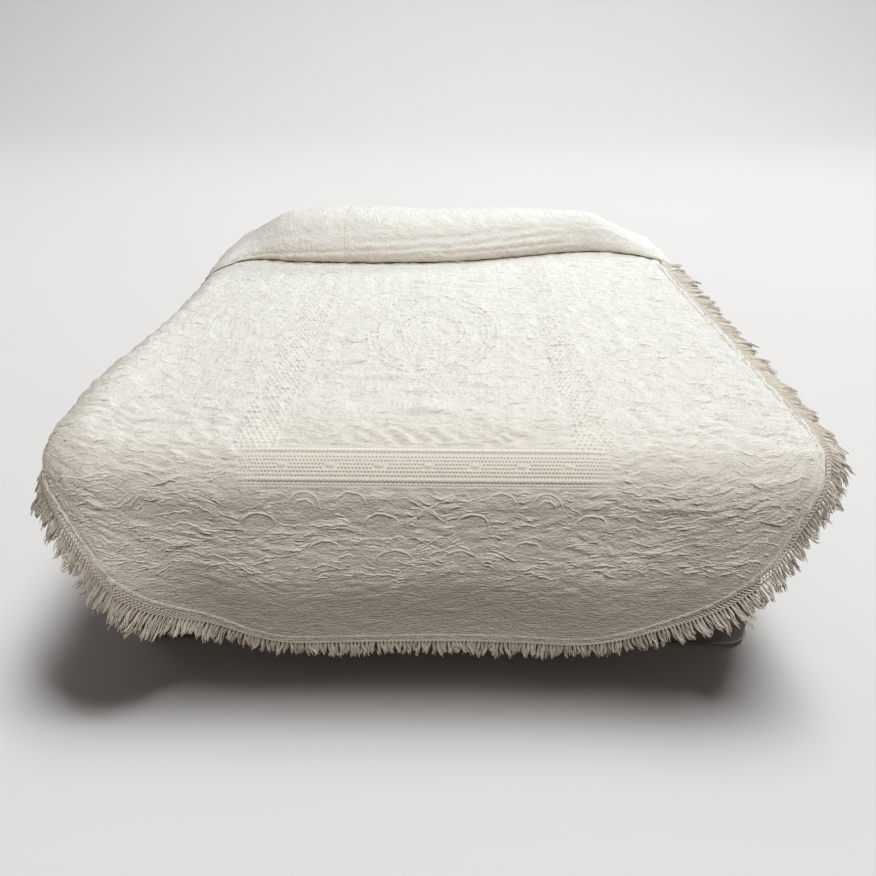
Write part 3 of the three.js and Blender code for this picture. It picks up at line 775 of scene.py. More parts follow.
UNDERSIDE_EVERY = {"row": 4, "column": 3, "tucked": 2}


def hump(distance, half):
    """Round ridge of the given half width."""
    return np.exp(-((distance / half) ** 2))


def wander(u, v):
    """How far the crinkles stray along the cloth from straight lines across it."""
    return sum(row["far"] * soft_noise(u / row["across"], v / row["along"], row["seed"]) for row in WANDER)


def crinkle(u, v):
    """Small puffs and wandering ridges that run mostly across the cloth and come and go."""
    bend = wander(u, v)
    slide = SLIDE["far"] * soft_noise(u / SLIDE["across"], v / SLIDE["along"], SLIDE["seed"])
    height = 0
    for row in PUFFS:
        across = (u + row["slide"] * slide) / row["across"]
        along = (v + row["bend"] * bend) / row["along"]
        height = height + row["height"] * np.abs(soft_noise(across, along, row["seed"])) ** PUFF_ROUND
    return height - PUFF_MEAN


def frame_depth(u, v):
    """How far inside the frame's outer edge a place lies. The frame ends at the tuck under the pillows."""
    depth = np.minimum(FRAME_HALF - np.abs(u), v - FRAME_FOOT)
    return np.where(v > by_side(u, FRAME_END), -1.0, depth)


def relief(u, v):
    """Height of the raised pattern above the cloth's plain face."""
    side = np.abs(u)
    depth = frame_depth(u, v)
    outside = 1 - smoothstep(depth, *FRAME_OUTER_EDGE)
    inside = smoothstep(depth, *FRAME_INNER_EDGE)
    on_band = (1 - outside) * (1 - inside)
    on_side = on_band * np.maximum(smoothstep(v, *FRAME_SIDE_START), smoothstep(side, *FRAME_FADE))

    crinkled = outside + CRINKLE_SHARE["field"] * inside + CRINKLE_SHARE["frame_side"] * on_side
    height = np.interp(v, *np.array(CRINKLE_BY_ALONG).T) * crinkle(u, v) * crinkled
    for loop in LOOPS:
        across = (side - loop["across"]) / loop["wide"]
        along = (v - loop["along"] - LOOP_GROUND["up"] * loop["high"]) / loop["high"]
        height = height * (1 - LOOP_GROUND["flattened"] * hump(np.hypot(across, along), 1.0))
    for row in CREASES:
        above = v - row["along"]
        lip = CREASE["lip"] * hump(above - CREASE["lip_at"], CREASE["lip_half"])
        dip = hump(above, CREASE["half"]) - lip
        height = height - row["deep"] * hump(u - row["across"], row["long"]) * dip
    slant = np.cos(2 * np.pi * (u + SLANTS["lean"] * v) / SLANTS["pitch"])
    slant = slant * hump(v - SLANTS_PLACE["along"], SLANTS_PLACE["half_along"])
    slant = slant * hump(u - SLANTS_PLACE["across"], SLANTS_PLACE["half_across"])
    height = height + inside * SLANTS["height"] * slant

    oval = np.hypot(u / MEDALLION["across"], (v - MEDALLION["along"]) / MEDALLION["long"])
    for ring in MEDALLION_RINGS:
        height = height + inside * ring["height"] * hump(oval - ring["size"], ring["half"])
    return np.maximum(height + (on_band - FRAME_SIDE_FLATTER * on_side) * FRAME_RISE, -DEEPEST_DIP)


def roll_folds(u, share):
    """Creases of the roll over the pillows, each with a puffed lip under it. Share counts up the roll."""
    height = np.zeros(np.broadcast_shapes(u.shape, share.shape))
    stray = ROLL_CREASE["stray"] * soft_noise(u / ROLL_CREASE["pitch"], u * 0, ROLL_CREASE["seed"])
    for row in ROLL_CREASES:
        (u_start, low), (u_end, high) = row["start"], row["end"]
        above = share - (low + (high - low) * (u - u_start) / (u_end - u_start) + stray)
        fade_in = smoothstep(u, u_start, u_start + ROLL_CREASE["fade_in"])
        fade_out = 1 - smoothstep(u, u_end - ROLL_CREASE["fade_out"], u_end)
        lip = row["lip"] * hump(above + ROLL_LIP["below"] * row["half"], ROLL_LIP["half"] * row["half"])
        height = height + fade_in * fade_out * (lip - row["deep"] * hump(above, row["half"]))
    return height


def cloth_columns():
    """Columns of the cloth, closer on the frame's sides and towards the rounded corners' ends."""
    straight_half = HALF_WIDTH - FOOT_CORNER
    first_angle = math.asin((BEND_FROM - straight_half) / FOOT_CORNER)
    angles = np.linspace(first_angle, np.pi / 2, COLUMN_COUNTS["bend"])
    half = np.concatenate([
        np.linspace(0, FIELD_HALF, COLUMN_COUNTS["field"])[1:],
        np.linspace(FIELD_HALF, FRAME_HALF, COLUMN_COUNTS["frame"])[1:],
        np.linspace(FRAME_HALF, BEND_FROM, COLUMN_COUNTS["side"])[1:],
        straight_half + FOOT_CORNER * np.sin(angles[1:]),
    ])
    return np.concatenate([-half[::-1], [0.0], half])


def rim_faces(fine, kept, coarse):
    """Faces that join a fine border to one with corners only at the kept places."""
    faces = []
    for k in range(len(kept) - 1):
        turn = (kept[k] + kept[k + 1]) // 2
        faces += [(fine[i], coarse[k], fine[i + 1]) for i in range(kept[k], turn)]
        faces.append((fine[turn], coarse[k], coarse[k + 1]))
        faces += [(fine[i], coarse[k + 1], fine[i + 1]) for i in range(turn, kept[k + 1])]
    return faces


def thinned(count, every, tucked_from):
    """Places kept on the plain underside: fewer on the bed, more from the tuck on."""
    places = list(range(0, tucked_from, every))
    places += range(tucked_from, count, UNDERSIDE_EVERY["tucked"])
    return places if places[-1] == count - 1 else places + [count - 1]


columns = cloth_columns()
middle, along_flat = cloth_rows(columns)
across_flat = np.broadcast_to(columns, along_flat.shape)
face_out = unit(np.cross(np.gradient(middle, axis=1), np.gradient(middle, axis=0)))
raised = relief(across_flat, along_flat)
on_roll = slice(-ROLL_ROWS - 1 - len(HEAD_DROPS), -len(HEAD_DROPS))
roll_share = np.linspace(0, 1, ROLL_ROWS + 1)[:, None]
raised[on_roll] += roll_folds(columns[None], roll_share)
upper = middle + face_out * (CLOTH_THICKNESS / 2 + raised)[..., None]

row_count, column_count = along_flat.shape
upper_index = np.arange(row_count * column_count).reshape(row_count, column_count)
kept_rows = thinned(row_count, UNDERSIDE_EVERY["row"], FOOT_COUNT + FIELD_ROWS)
kept_columns = thinned(column_count, UNDERSIDE_EVERY["column"], column_count - 1)
kept = np.ix_(kept_rows, kept_columns)
under = (middle - face_out * CLOTH_THICKNESS / 2)[kept]
under_index = upper_index.size + np.arange(under.shape[0] * under.shape[1]).reshape(under.shape[:2])
spread_faces = quads(upper_index).tolist() + turned_over(quads(under_index)).tolist()
rows_back = [row_count - 1 - row for row in reversed(kept_rows)]
columns_back = [column_count - 1 - column for column in reversed(kept_columns)]
spread_faces += rim_faces(upper_index[0], kept_columns, under_index[0])
spread_faces += rim_faces(upper_index[-1, ::-1], columns_back, under_index[-1, ::-1])
spread_faces += rim_faces(upper_index[::-1, 0], rows_back, under_index[::-1, 0])
spread_faces += rim_faces(upper_index[:, -1], kept_rows, under_index[:, -1])
spread_points = np.concatenate([upper.reshape(-1, 3), under.reshape(-1, 3)])

COTTON_LIGHT = (0.86, 0.85, 0.82, 1)
COTTON_DEEP_AND_SHADE = (0.74, 0.70, 0.63, 1)
FINISH_OUTER_EDGE = (-0.004, 0.002)
FINISH_INNER_EDGE = (FRAME_WIDTH - 0.004, FRAME_WIDTH + 0.002)
FINISH_SIDE_START = (FIELD_FOOT, FRAME_FOOT + 0.2)
PEBBLED_FROM = (0.45, 0.80)
THREADED_TO = (0.16, 0.32)
# Painted shade: the cloth is coloured deeper where its raised pattern sinks low, most in the deepest creases.
HOLLOW_SHADE = (0.0022, -0.0008)
DEEP_HOLLOW_SHADE = (-0.0015, -0.0065)
# Painted shade: a strip of the top just above the frame's foot band, across its middle, is coloured deeper.
SHADE_ABOVE_BAND = {"from": (0.525, 0.540), "to": (0.585, 0.625), "half_across": (0.28, 0.36)}
# Painted shadow: the lower front of the roll over the pillows, above its crease with the top, is coloured
# deeper.
FOLD_SHADOW = {"from": (0.12, 0.18), "to": (0.30, 0.44)}
# Painted shade: the cloth hanging at the foot and its corners is coloured deeper towards the hem.
SHADED_FOOT = (0.08, 0.28)

quilted_cotton, shader, place = new_finish("quilted_cotton", {"Sheen Weight": 0.2, "Sheen Roughness": 0.5})
flat = place.carried("flat", "Vector")
standing = place.carried("raised", "Fac")
up_roll = place.carried("up_roll", "Fac")
u, v, _ = flat.axes()
depth = u.math("MINIMUM", FRAME_HALF - abs(u), v - FRAME_FOOT)
on_band = depth.step(*FINISH_OUTER_EDGE) * (1 - depth.step(*FINISH_INNER_EDGE))
up_sides = v.step(*FINISH_SIDE_START)
on_band = on_band * (1 - 0.7 * up_sides.math("MAXIMUM", up_sides, abs(u).step(*FRAME_FADE)))
puckered = flat.stretched(12.0, 26.0, 1.0)
puckered = puckered.noise(scale=2.4, detail=4.0, roughness=0.6, distortion=0.5, kind="RIDGED_MULTIFRACTAL")
crumple = flat.stretched(1.0, 1.7, 1.0).noise(scale=105.0, detail=3.0, roughness=0.6, distortion=0.4)
grain = flat.stretched(1.0, 1.6, 1.0).noise(scale=330.0, detail=2.0)
pebble = flat.stretched(1.0, 0.8, 1.0).noise(scale=75.0, detail=2.0, roughness=0.55, distortion=0.3)
threads = flat.stretched(0.35, 1.6, 1.0).noise(scale=130.0, detail=3.0, roughness=0.6, distortion=0.4)
pebbled = pebble * 2.2 * v.step(*PEBBLED_FROM)
threaded = threads * 1.6 * (1 - v.step(*THREADED_TO))
woven = crumple * 1.5 + puckered * 0.6 + pebbled + threaded
hollow_shade = standing.step(*HOLLOW_SHADE) * 0.3 + standing.step(*DEEP_HOLLOW_SHADE) * 0.4
shade_above_band = v.step(*SHADE_ABOVE_BAND["from"]) * (1 - v.step(*SHADE_ABOVE_BAND["to"]))
shade_above_band = shade_above_band * (1 - abs(u).step(*SHADE_ABOVE_BAND["half_across"]))
fold_shadow = up_roll.step(*FOLD_SHADOW["from"]) * (1 - up_roll.step(*FOLD_SHADOW["to"]))
hem_shade = 1 - v.step(*SHADED_FOOT)
# The deeper colour mixes the band's and the grain's own tone with painted shade in the hollows, above the
# band, under the roll and near the foot hem.
tone_and_painted_shade = hollow_shade + 0.25 * grain + 0.2 * on_band + 0.4 * shade_above_band
tone_and_painted_shade = tone_and_painted_shade + 0.9 * fold_shadow + 0.5 * hem_shade
tone_and_painted_shade.tint(COTTON_LIGHT, COTTON_DEEP_AND_SHADE).feed(shader, "Base Color")
(0.86 + 0.1 * grain).feed(shader, "Roughness")
(woven * (1 - 0.8 * on_band) + grain * 0.2).bump(distance=0.0030).feed(shader, "Normal")

bedspread = add_piece(
    "quilted_bedspread", spread_points, spread_faces, quilted_cotton, sharp_degrees=70)
flat_upper = np.stack([across_flat, along_flat, np.zeros(along_flat.shape)], -1)
share_up_roll = np.zeros(along_flat.shape)
share_up_roll[on_roll] = roll_share
plain_under = np.zeros(under_index.size)
mark(bedspread, "flat", np.concatenate([flat_upper.reshape(-1, 3), flat_upper[kept].reshape(-1, 3)]))
mark(bedspread, "raised", np.append(raised, plain_under))
mark(bedspread, "up_roll", np.append(share_up_roll, plain_under))
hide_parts("bedspread")


# Frame: twisted ropes and rows of staggered beads across the foot of the band, with plain lozenges in the
# middle rows, and larger beads up its sides to the tuck under the pillows. Beads ring the medallion too.
# All are woven into the cloth and stuffed from behind.

ROPE_ROWS = table(
    "depth pitch long wide height slant",
    (0.0030, 0.0066, 0.0048, 0.0022, 0.0022, 38),
    (0.0118, 0.0092, 0.0084, 0.0044, 0.0053, 38),
    (0.0780, 0.0092, 0.0084, 0.0044, 0.0051, 38),
)
BEAD_ROWS = [0.0230, 0.0312, 0.0394, 0.0476, 0.0558, 0.0640]
LOZENGE_ROWS = (2, 3)
BEAD, LOZENGE, MEDALLION_BEAD = table(
    "pitch long wide height slant",
    (0.0078, 0.0037, 0.0034, 0.0041, 0),
    (0.107, 0.0140, 0.0075, 0.0026, 0),
    (0.0125, 0.0048, 0.0048, 0.0017, 0),
)
SIDE_BEAD = {"across": 0.0135, "along": 0.0130, "long": 0.0058, "wide": 0.0050, "height": 0.0020, "slant": 0}
BEADED_RINGS = (0.83, 0.91, 0.99, 0.40, 0.48)
RING_RADIUS = 0.25
FRAME_END_GAP = 0.004
DOME_SIDES = 8
DOME_FOOT = (1.0, -0.25)
DOME_SHOULDER = (0.72, 0.62)
BEAD_STANDING = 0.0006


def foot_row(depth, pitch):
    """Flat places along one row of the frame's foot."""
    count = int((FRAME_HALF - FRAME_END_GAP) / pitch)
    u = np.arange(-count, count + 1) * pitch
    return u, np.full(u.shape, FRAME_FOOT + depth)


def above_cloth(u, v, rise):
    """Places that rise from the cloth's plain face, and the direction out of it."""
    out = normal_of(spread_point, u, v)
    return spread_point(u, v) + out * (CLOTH_THICKNESS / 2 + rise)[:, None], out


def domes(u, v, size, fade=None):
    """Low round domes on the cloth, longer across it or slanting. They can fade towards the ends of a row."""
    h = 0.002
    centre, out = above_cloth(u, v, relief(u, v))
    along = unit(spread_point(u, v + h) - spread_point(u, v - h))
    across = np.cross(along, out)
    slant = math.radians(size["slant"])
    length = math.cos(slant) * across + math.sin(slant) * along
    width = math.cos(slant) * along - math.sin(slant) * across
    height = size["height"] * out
    if fade is not None:
        height = height * (1 - smoothstep(np.abs(u), *fade))[:, None]
    section = round_section(DOME_SIDES)
    ring = length[:, None] * size["long"] * section[:, :1] + width[:, None] * size["wide"] * section[:, 1:]
    points = []
    for share, rise in (DOME_FOOT, DOME_SHOULDER):
        points.append(centre[:, None] + share * ring + rise * height[:, None])
    points.append((centre + height)[:, None])
    crown = 2 * DOME_SIDES
    start = (crown + 1) * np.arange(len(u))[:, None]
    faces = []
    for i in range(DOME_SIDES):
        k = (i + 1) % DOME_SIDES
        faces += (start + [i, k, DOME_SIDES + k, DOME_SIDES + i]).tolist()
        faces += (start + [DOME_SIDES + i, DOME_SIDES + k, crown]).tolist()
    return np.concatenate(points, axis=1).reshape(-1, 3), faces


def mark_raised(piece, points, height):
    """Mark a raised piece with about where it lies on the flat cloth and how high it stands; the finish
    paints shade by that height.
    """
    mark(piece, "flat", points - [0, FOOT_START, 0])
    mark(piece, "raised", np.full(len(points), height))


bead_meshes = []
for number, depth in enumerate(BEAD_ROWS):
    u, v = foot_row(depth, BEAD["pitch"])
    if number in LOZENGE_ROWS:
        from_lozenge = np.abs((u + LOZENGE["pitch"] / 2) % LOZENGE["pitch"] - LOZENGE["pitch"] / 2)
        clear = from_lozenge > LOZENGE["long"]
        u, v = u[clear], v[clear]
    shift = 0.5 * BEAD["pitch"] if number % 2 else 0
    bead_meshes.append(domes(u + shift, v, BEAD, FRAME_FADE))
for row in ROPE_ROWS:
    bead_meshes.append(domes(*foot_row(row["depth"], row["pitch"]), row, FRAME_FADE))
for side, end in ((-1, FRAME_END["left"]), (1, FRAME_END["right"])):
    across = np.arange(FIELD_HALF, FRAME_HALF, SIDE_BEAD["across"])
    along = np.arange(FIELD_FOOT, end, SIDE_BEAD["along"])
    stagger = 0.5 * SIDE_BEAD["across"] * (np.arange(len(along)) % 2)
    u, v = across[None] + stagger[:, None], along[:, None] + 0 * across[None]
    bead_meshes.append(domes(side * u.ravel(), v.ravel(), SIDE_BEAD))
for ring in BEADED_RINGS:
    count = int(2 * np.pi * ring * RING_RADIUS / MEDALLION_BEAD["pitch"])
    angles = 2 * np.pi * np.arange(count) / count
    u = ring * MEDALLION["across"] * np.cos(angles)
    v = MEDALLION["along"] + ring * MEDALLION["long"] * np.sin(angles)
    bead_meshes.append(domes(u, v, MEDALLION_BEAD))
lozenge_depth = sum(BEAD_ROWS[number] for number in LOZENGE_ROWS) / 2
bead_meshes.append(domes(*foot_row(lozenge_depth, LOZENGE["pitch"]), LOZENGE))
bead_points, bead_faces = joined(*bead_meshes)
beads = add_piece("frame_beads", bead_points, bead_faces, quilted_cotton, sharp_degrees=80)
mark_raised(beads, bead_points, BEAD_STANDING)


# Raised lines: thin stuffed ridges of the weave. Loops stand under the frame's foot, scrolls fill the foot
# corners, a festoon hangs inside the frame, and wavering ridges run across the foot and, wider apart,
# over the top.

RIDGE_SECTION = np.array([(1.0, -0.15), (0.55, 0.40), (0.0, 0.60), (-0.55, 0.40), (-1.0, -0.15)])
LINE_STEP = 0.0055
LINE_TAPER = 0.30
LINE_THINNEST = 0.05
LINE_FEWEST_STEPS = 6
LINE_STANDING = 0.002
SHAKE = {"across": 0.0016, "along": 0.0022, "pitch": 0.013, "thick": 0.35, "thick_pitch": 0.015, "seed": 51}
LOOP_RADIUS = 0.0036
LOOP_STEPS = 26
LOOP_PAST = 0.30
LOOP_POINT_CURVE = 0.8
SCROLLS = [
    (0.0030, [(0.440, 0.300), (0.500, 0.282), (0.560, 0.290), (0.620, 0.312), (0.680, 0.306)]),
    (0.0026, [(0.455, 0.318), (0.510, 0.302), (0.565, 0.310), (0.620, 0.332)]),
    (0.0030, [(0.590, 0.232), (0.640, 0.250), (0.700, 0.262), (0.760, 0.256)]),
    (0.0030, [(0.690, 0.350), (0.740, 0.372), (0.790, 0.366), (0.830, 0.390)]),
    (0.0030, [(0.640, 0.440), (0.700, 0.462), (0.760, 0.452), (0.820, 0.470)]),
    (0.0027, [(0.655, 0.418), (0.706, 0.440), (0.772, 0.430), (0.838, 0.446)]),
    (0.0030, [(0.450, 0.428), (0.500, 0.446), (0.560, 0.440), (0.610, 0.462), (0.660, 0.470)]),
    (0.0027, [(0.470, 0.406), (0.520, 0.424), (0.580, 0.420), (0.630, 0.438)]),
    (0.0030, [(0.400, 0.215), (0.440, 0.240), (0.490, 0.238), (0.520, 0.215)]),
    (0.0028, [(0.500, 0.560), (0.560, 0.585), (0.640, 0.580), (0.700, 0.600)]),
    (0.0028, [(0.690, 0.545), (0.750, 0.562), (0.800, 0.588), (0.850, 0.592)]),
]
FESTOON = [
    (0.0031, [(0.070, 0.600), (0.105, 0.618), (0.140, 0.596), (0.180, 0.612), (0.215, 0.592)]),
    (0.0031, [(0.205, 0.596), (0.245, 0.622), (0.290, 0.604), (0.335, 0.616)]),
]
CROSSINGS = [
    (0.0030, [(-0.055, 0.416), (-0.020, 0.400), (0.024, 0.368), (0.050, 0.352)]),
    (0.0030, [(-0.070, 0.300), (-0.030, 0.318), (0.010, 0.292), (0.060, 0.276)]),
    (0.0027, [(-0.050, 0.250), (-0.010, 0.262), (0.030, 0.246), (0.080, 0.262)]),
]
WAVERING = table(
    "piece from to spacing step radius seed",
    ("foot_ridges", 0.215, 0.640, 0.0088, 0.0042, 0.0032, 20),
    ("top_ridges", 0.640, 1.900, 0.0190, 0.0075, 0.0032, 25),
)
WAVERING_HALF = 0.895
WAVERING_SETTLE = {"rounds": 8, "share": 0.6}
WAVER = {"far": 0.0042, "pitch": 0.015, "apart": 7.3}
WAVER_THICK = {"share": 0.3, "pitch": 0.011, "apart": 5.7}
BREAKS = {"pitch": 0.045, "shift": 31.7, "apart": 3.1}
RIDGE_KEPT = {"from": -0.10, "to": 0.45, "thinnest": 0.25, "fewest": 4}
WAVERING_GAP = {"hem": 0.045, "fold": 0.01, "loop": 1.15, "band_end": 0.035, "band": (0.010, 0.008)}

field_end = FOOT_COUNT + 1 + FIELD_ROWS


def face_height(u, v):
    """Height of the cloth's face as it was laid out, between its rows and columns."""
    right = np.clip(np.searchsorted(columns, u), 1, len(columns) - 1)
    heights = np.zeros((2, len(u)))
    for side in (0, 1):
        for column in np.unique(right):
            here = right == column
            line = column - 1 + side
            heights[side, here] = np.interp(v[here], along_flat[:field_end, line], raised[:field_end, line])
    share = (u - columns[right - 1]) / (columns[right] - columns[right - 1])
    return heights[0] + (heights[1] - heights[0]) * share


def ridge(u, v, radius):
    """A ridge half sunk in the cloth's face along flat places."""
    path, out = above_cloth(u, v, face_height(u, v))
    return cords(path[None], out[None], radius[None], RIDGE_SECTION)


def uneven_ridge(u, v, radius):
    """A drawn line as the weave gives it: a little shaky and of uneven thickness."""

    def shaky(pitch, seed):
        return soft_noise(u / pitch, v / pitch, seed)

    shaken_u = u + SHAKE["across"] * shaky(SHAKE["pitch"], SHAKE["seed"])
    shaken_v = v + SHAKE["along"] * shaky(SHAKE["pitch"], SHAKE["seed"] + 1)
    thick = 1 + SHAKE["thick"] * shaky(SHAKE["thick_pitch"], SHAKE["seed"] + 2)
    return ridge(shaken_u, shaken_v, radius * thick)


def tapered(count, radius):
    share = np.linspace(0, 1, count)
    from_end = np.minimum(1, np.minimum(share, 1 - share) / LINE_TAPER)
    return radius * np.sqrt(from_end * (1 - LINE_THINNEST) + LINE_THINNEST)


def drawn_line(radius, places, mirror):
    count = max(int(lengths_along(places)[-1] / LINE_STEP), LINE_FEWEST_STEPS)
    line = np.array([spline(places, share) for share in np.linspace(0, 1, count)])
    return uneven_ridge(mirror * line[:, 0], line[:, 1], tapered(count, radius))


def loop_line(loop, mirror):
    angles = np.linspace(-LOOP_PAST, np.pi + LOOP_PAST, LOOP_STEPS)
    sine = np.sin(angles)
    pointed = 1 - np.abs(np.cos(angles)) ** LOOP_POINT_CURVE
    up = loop["high"] * np.where(sine > 0, sine + loop["point"] * (pointed - sine), sine)
    u = mirror * loop["across"] + loop["wide"] * np.cos(angles)
    return uneven_ridge(u, loop["along"] + up, tapered(LOOP_STEPS, LOOP_RADIUS))


def clear_ground(u, v):
    """Where wavering ridges may run: clear of the frame's band, the loops, the hem and the pillow fold."""
    depth = frame_depth(u, v)
    before_band, past_band = WAVERING_GAP["band"]
    on_band = (depth > -before_band) & (depth < FRAME_WIDTH + past_band)
    on_band &= (np.abs(u) < FRAME_FADE[1] - WAVERING_GAP["band_end"]) | (v > FIELD_FOOT)
    near_loop = np.zeros(u.shape, bool)
    for loop in LOOPS:
        across, along = (np.abs(u) - loop["across"]) / loop["wide"], (v - loop["along"]) / loop["high"]
        near_loop |= np.hypot(across, along) < WAVERING_GAP["loop"]
    fold = fold_line(bed_across(u, v)) - FOOT_START
    within = (v > hem_along(u) + WAVERING_GAP["hem"]) & (v < fold - WAVERING_GAP["fold"])
    return within & ~on_band & ~near_loop


def wavering_lines(row):
    """Ridges that waver across the cloth, broken where they die away."""
    u = np.arange(-WAVERING_HALF, WAVERING_HALF, row["step"])
    found = []
    for number, level in enumerate(np.arange(row["from"], row["to"], row["spacing"])):

        def uneven(across, apart, seed):
            return soft_noise(across, np.full(u.shape, apart * number), seed)

        v = np.full(u.shape, level)
        share = WAVERING_SETTLE["share"]
        for _ in range(WAVERING_SETTLE["rounds"]):
            v = (1 - share) * v + share * (level - wander(u, v))
        v = v + WAVER["far"] * uneven(u / WAVER["pitch"], WAVER["apart"], row["seed"] + 1)
        shifted = u / BREAKS["pitch"] + BREAKS["shift"] * number
        strength = uneven(shifted, BREAKS["apart"], row["seed"])
        strength = smoothstep(strength, RIDGE_KEPT["from"], RIDGE_KEPT["to"])
        thick = uneven(u / WAVER_THICK["pitch"], WAVER_THICK["apart"], row["seed"] + 2)
        thick = 1 + WAVER_THICK["share"] * thick
        radius = row["radius"] * np.sqrt(strength) * thick * clear_ground(u, v)
        kept = radius > RIDGE_KEPT["thinnest"] * row["radius"]
        starts = np.flatnonzero(kept & ~np.append(False, kept[:-1]))
        ends = np.flatnonzero(kept & ~np.append(kept[1:], False)) + 1
        for start, end in zip(starts, ends):
            if end - start >= RIDGE_KEPT["fewest"]:
                part = slice(start, end)
                found.append(ridge(u[part], v[part], radius[part] * tapered(end - start, 1.0)))
    return found


line_meshes = []
for mirror in (-1, 1):
    line_meshes += [loop_line(loop, mirror) for loop in LOOPS if mirror == 1 or loop["across"]]
    line_meshes += [drawn_line(radius, places, mirror) for radius, places in SCROLLS + FESTOON + CROSSINGS]
line_sets = [("raised_scrolls", line_meshes)]
line_sets += [(row["piece"], wavering_lines(row)) for row in WAVERING]
for name, meshes in line_sets:
    points, faces = joined(*meshes)
    piece = add_piece(name, points, faces, quilted_cotton, sharp_degrees=80)
    mark_raised(piece, points, LINE_STANDING)


# Fringe: a netted heading knotted along the hem, with loosely twisted bundles of cotton thread below it.
# It is in five runs, from the pillow fold on the right round the foot to the fold on the left.

FRINGE_END = {"left": 0.340, "right": 0.440}
HEM_GAP = 0.0015
FRINGE_LONG = 0.080
LIFT_CURVE = 1.2
BUNDLE_PITCH = 0.0092
BUNDLE_SEED = 100
RUN_SAMPLES = 400
NET = {"radius": 0.0018, "steps": 6, "lean": 1.3, "past": 0.002, "over": 0.0012}
STRANDS = 9
STRAND_RADIUS = 0.00125
STRAND_STEPS = 9
THREAD_SIDES = 4
LOCK_PARTS = "heading length lift full root pale stray"
# Root is how light the painted shade at the locks' roots and in the net stays. Pale is painted light and
# shade, paler on the sides and the right corner and darker at the foot and the left corner.
SIDE_LOCKS, RIGHT_CORNER_LOCKS, FOOT_LOCKS, LEFT_CORNER_LOCKS = table(
    LOCK_PARTS,
    (0.011, 0.060, 0.022, 0.0032, 0.90, 0.20, 0.012),
    (0.013, 0.067, 0.020, 0.0036, 0.65, 0.38, 0.010),
    (0.006, 0.046, 0.004, 0.0034, 0.40, 0.00, 0.006),
    (0.015, 0.066, 0.022, 0.0040, 0.34, -0.06, 0.008),
)
INTO_FOOT = (0.75, 0.99)
UNEVEN_LENGTH = {"far": 0.20, "shorter": -0.16, "longer": 0.12}
SWING = {"far": 0.6, "in": -0.6, "out": 0.8, "curve": 1.3}
SWAY = {"far": 1.5, "aside": 0.8, "curve": 1.4}
CLUMPS = {"parted": 0.6, "drawn": 0.30}
LOCK_WAVE = {"far": 0.0034, "turn": 5.5}
LOCK_ROOT = {"share": 0.45, "full_from": 0.45, "pale_from": 0.4}
LOCK_TONE = (0.40, 0.95)
TWIST = {"turn": 2.6, "uneven": 0.5, "tighter": -0.4, "looser": 0.5, "shorter": 0.28, "thinner": 0.35}
TWIST_SHADE = {"mean": 0.62, "turned": 0.38}
NET_SHADE = {"least": 0.25, "root": 0.55}
FRINGE_DARK = (0.42, 0.37, 0.31, 1)
FRINGE_PALE = (0.92, 0.88, 0.81, 1)


def side_run(side, end, t):
    along = (end - FOOT_START) + (FOOT_CORNER - end + FOOT_START) * t
    return side * HALF_WIDTH + 0 * t, along, side + 0 * t, 0 * t


def signed_power(x, power):
    return np.sign(x) * np.abs(x) ** power


def corner_run(side, t):
    curve = CORNER_CURVE["left"] if side < 0 else CORNER_CURVE["right"]
    across, down = np.cos(t * np.pi / 2), np.sin(t * np.pi / 2)
    facing = 2 - 2 / curve
    out = unit(np.stack([side * signed_power(across, facing), -signed_power(down, facing)], -1))
    u = side * (HALF_WIDTH - FOOT_CORNER + FOOT_CORNER * signed_power(across, 2 / curve))
    return u, FOOT_CORNER * (1 - signed_power(down, 2 / curve)), out[..., 0], out[..., 1]


def foot_run(t):
    centre = HALF_WIDTH - FOOT_CORNER
    return centre - 2 * centre * t, 0 * t, 0 * t, 0 * t - 1


FRINGE_RUNS = table(
    "node locks at",
    ("fringe_right_side", SIDE_LOCKS, lambda t: side_run(1, FRINGE_END["right"], t)),
    ("fringe_right_corner", RIGHT_CORNER_LOCKS, lambda t: corner_run(1, t)),
    ("fringe_foot", FOOT_LOCKS, foot_run),
    ("fringe_left_corner", LEFT_CORNER_LOCKS, lambda t: corner_run(-1, 1 - t)),
    ("fringe_left_side", SIDE_LOCKS, lambda t: side_run(-1, FRINGE_END["left"], 1 - t)),
)


def place_on(run, t, reach):
    u, v, out_u, out_v = run["at"](t)
    return spread_point(u + out_u * reach, v + out_v * reach)


def lock_size(run, t, part):
    """A size of the fringe at a place of a run. A corner's sizes pass into the foot's."""
    _, _, _, out_v = run["at"](t)
    own = run["locks"][part]
    return own + (FOOT_LOCKS[part] - own) * smoothstep(-out_v, *INTO_FOOT)


def frame_on(run, t, reach):
    """Place beyond the hem, with the directions along the hem and out of the cloth's face."""
    step, further = 0.002, 0.001
    along = unit(place_on(run, t + step, reach) - place_on(run, t - step, reach))
    outward = unit(place_on(run, t, reach + further) - place_on(run, t, reach - further))
    return place_on(run, t, reach), along, np.cross(along, outward)


def even_shares(run, pitch):
    """Shares of a run that part its hem into equal lengths."""
    shares = np.linspace(0, 1, RUN_SAMPLES)
    lengths = lengths_along(place_on(run, shares, np.zeros(len(shares))))
    count = int(round(lengths[-1] / pitch))
    return np.interp((np.arange(count) + 0.5) / count, lengths / lengths[-1], shares), 1 / count


def netted_heading(run, shares, pitch_share):
    """Threads that cross over and under each other between the hem and the bundles."""
    stations = np.linspace(0, 1, NET["steps"])
    paths, lifts = [], []
    for lean in (1, -1):
        t = np.clip(shares[:, None] + lean * pitch_share * (stations - 0.5) * NET["lean"], 0, 1)
        reach = HEM_GAP + (lock_size(run, t, "heading") + NET["past"] - HEM_GAP) * stations
        point, along, face = frame_on(run, t, reach)
        risen = lock_size(run, t, "lift") * (reach / FRINGE_LONG) ** LIFT_CURVE
        over = lean * NET["over"] * np.cos(2 * np.pi * stations)
        paths.append(point + face * (risen + over)[..., None])
        lifts.append(face)
    return cords(np.concatenate(paths), np.concatenate(lifts), NET["radius"], round_section(THREAD_SIDES))


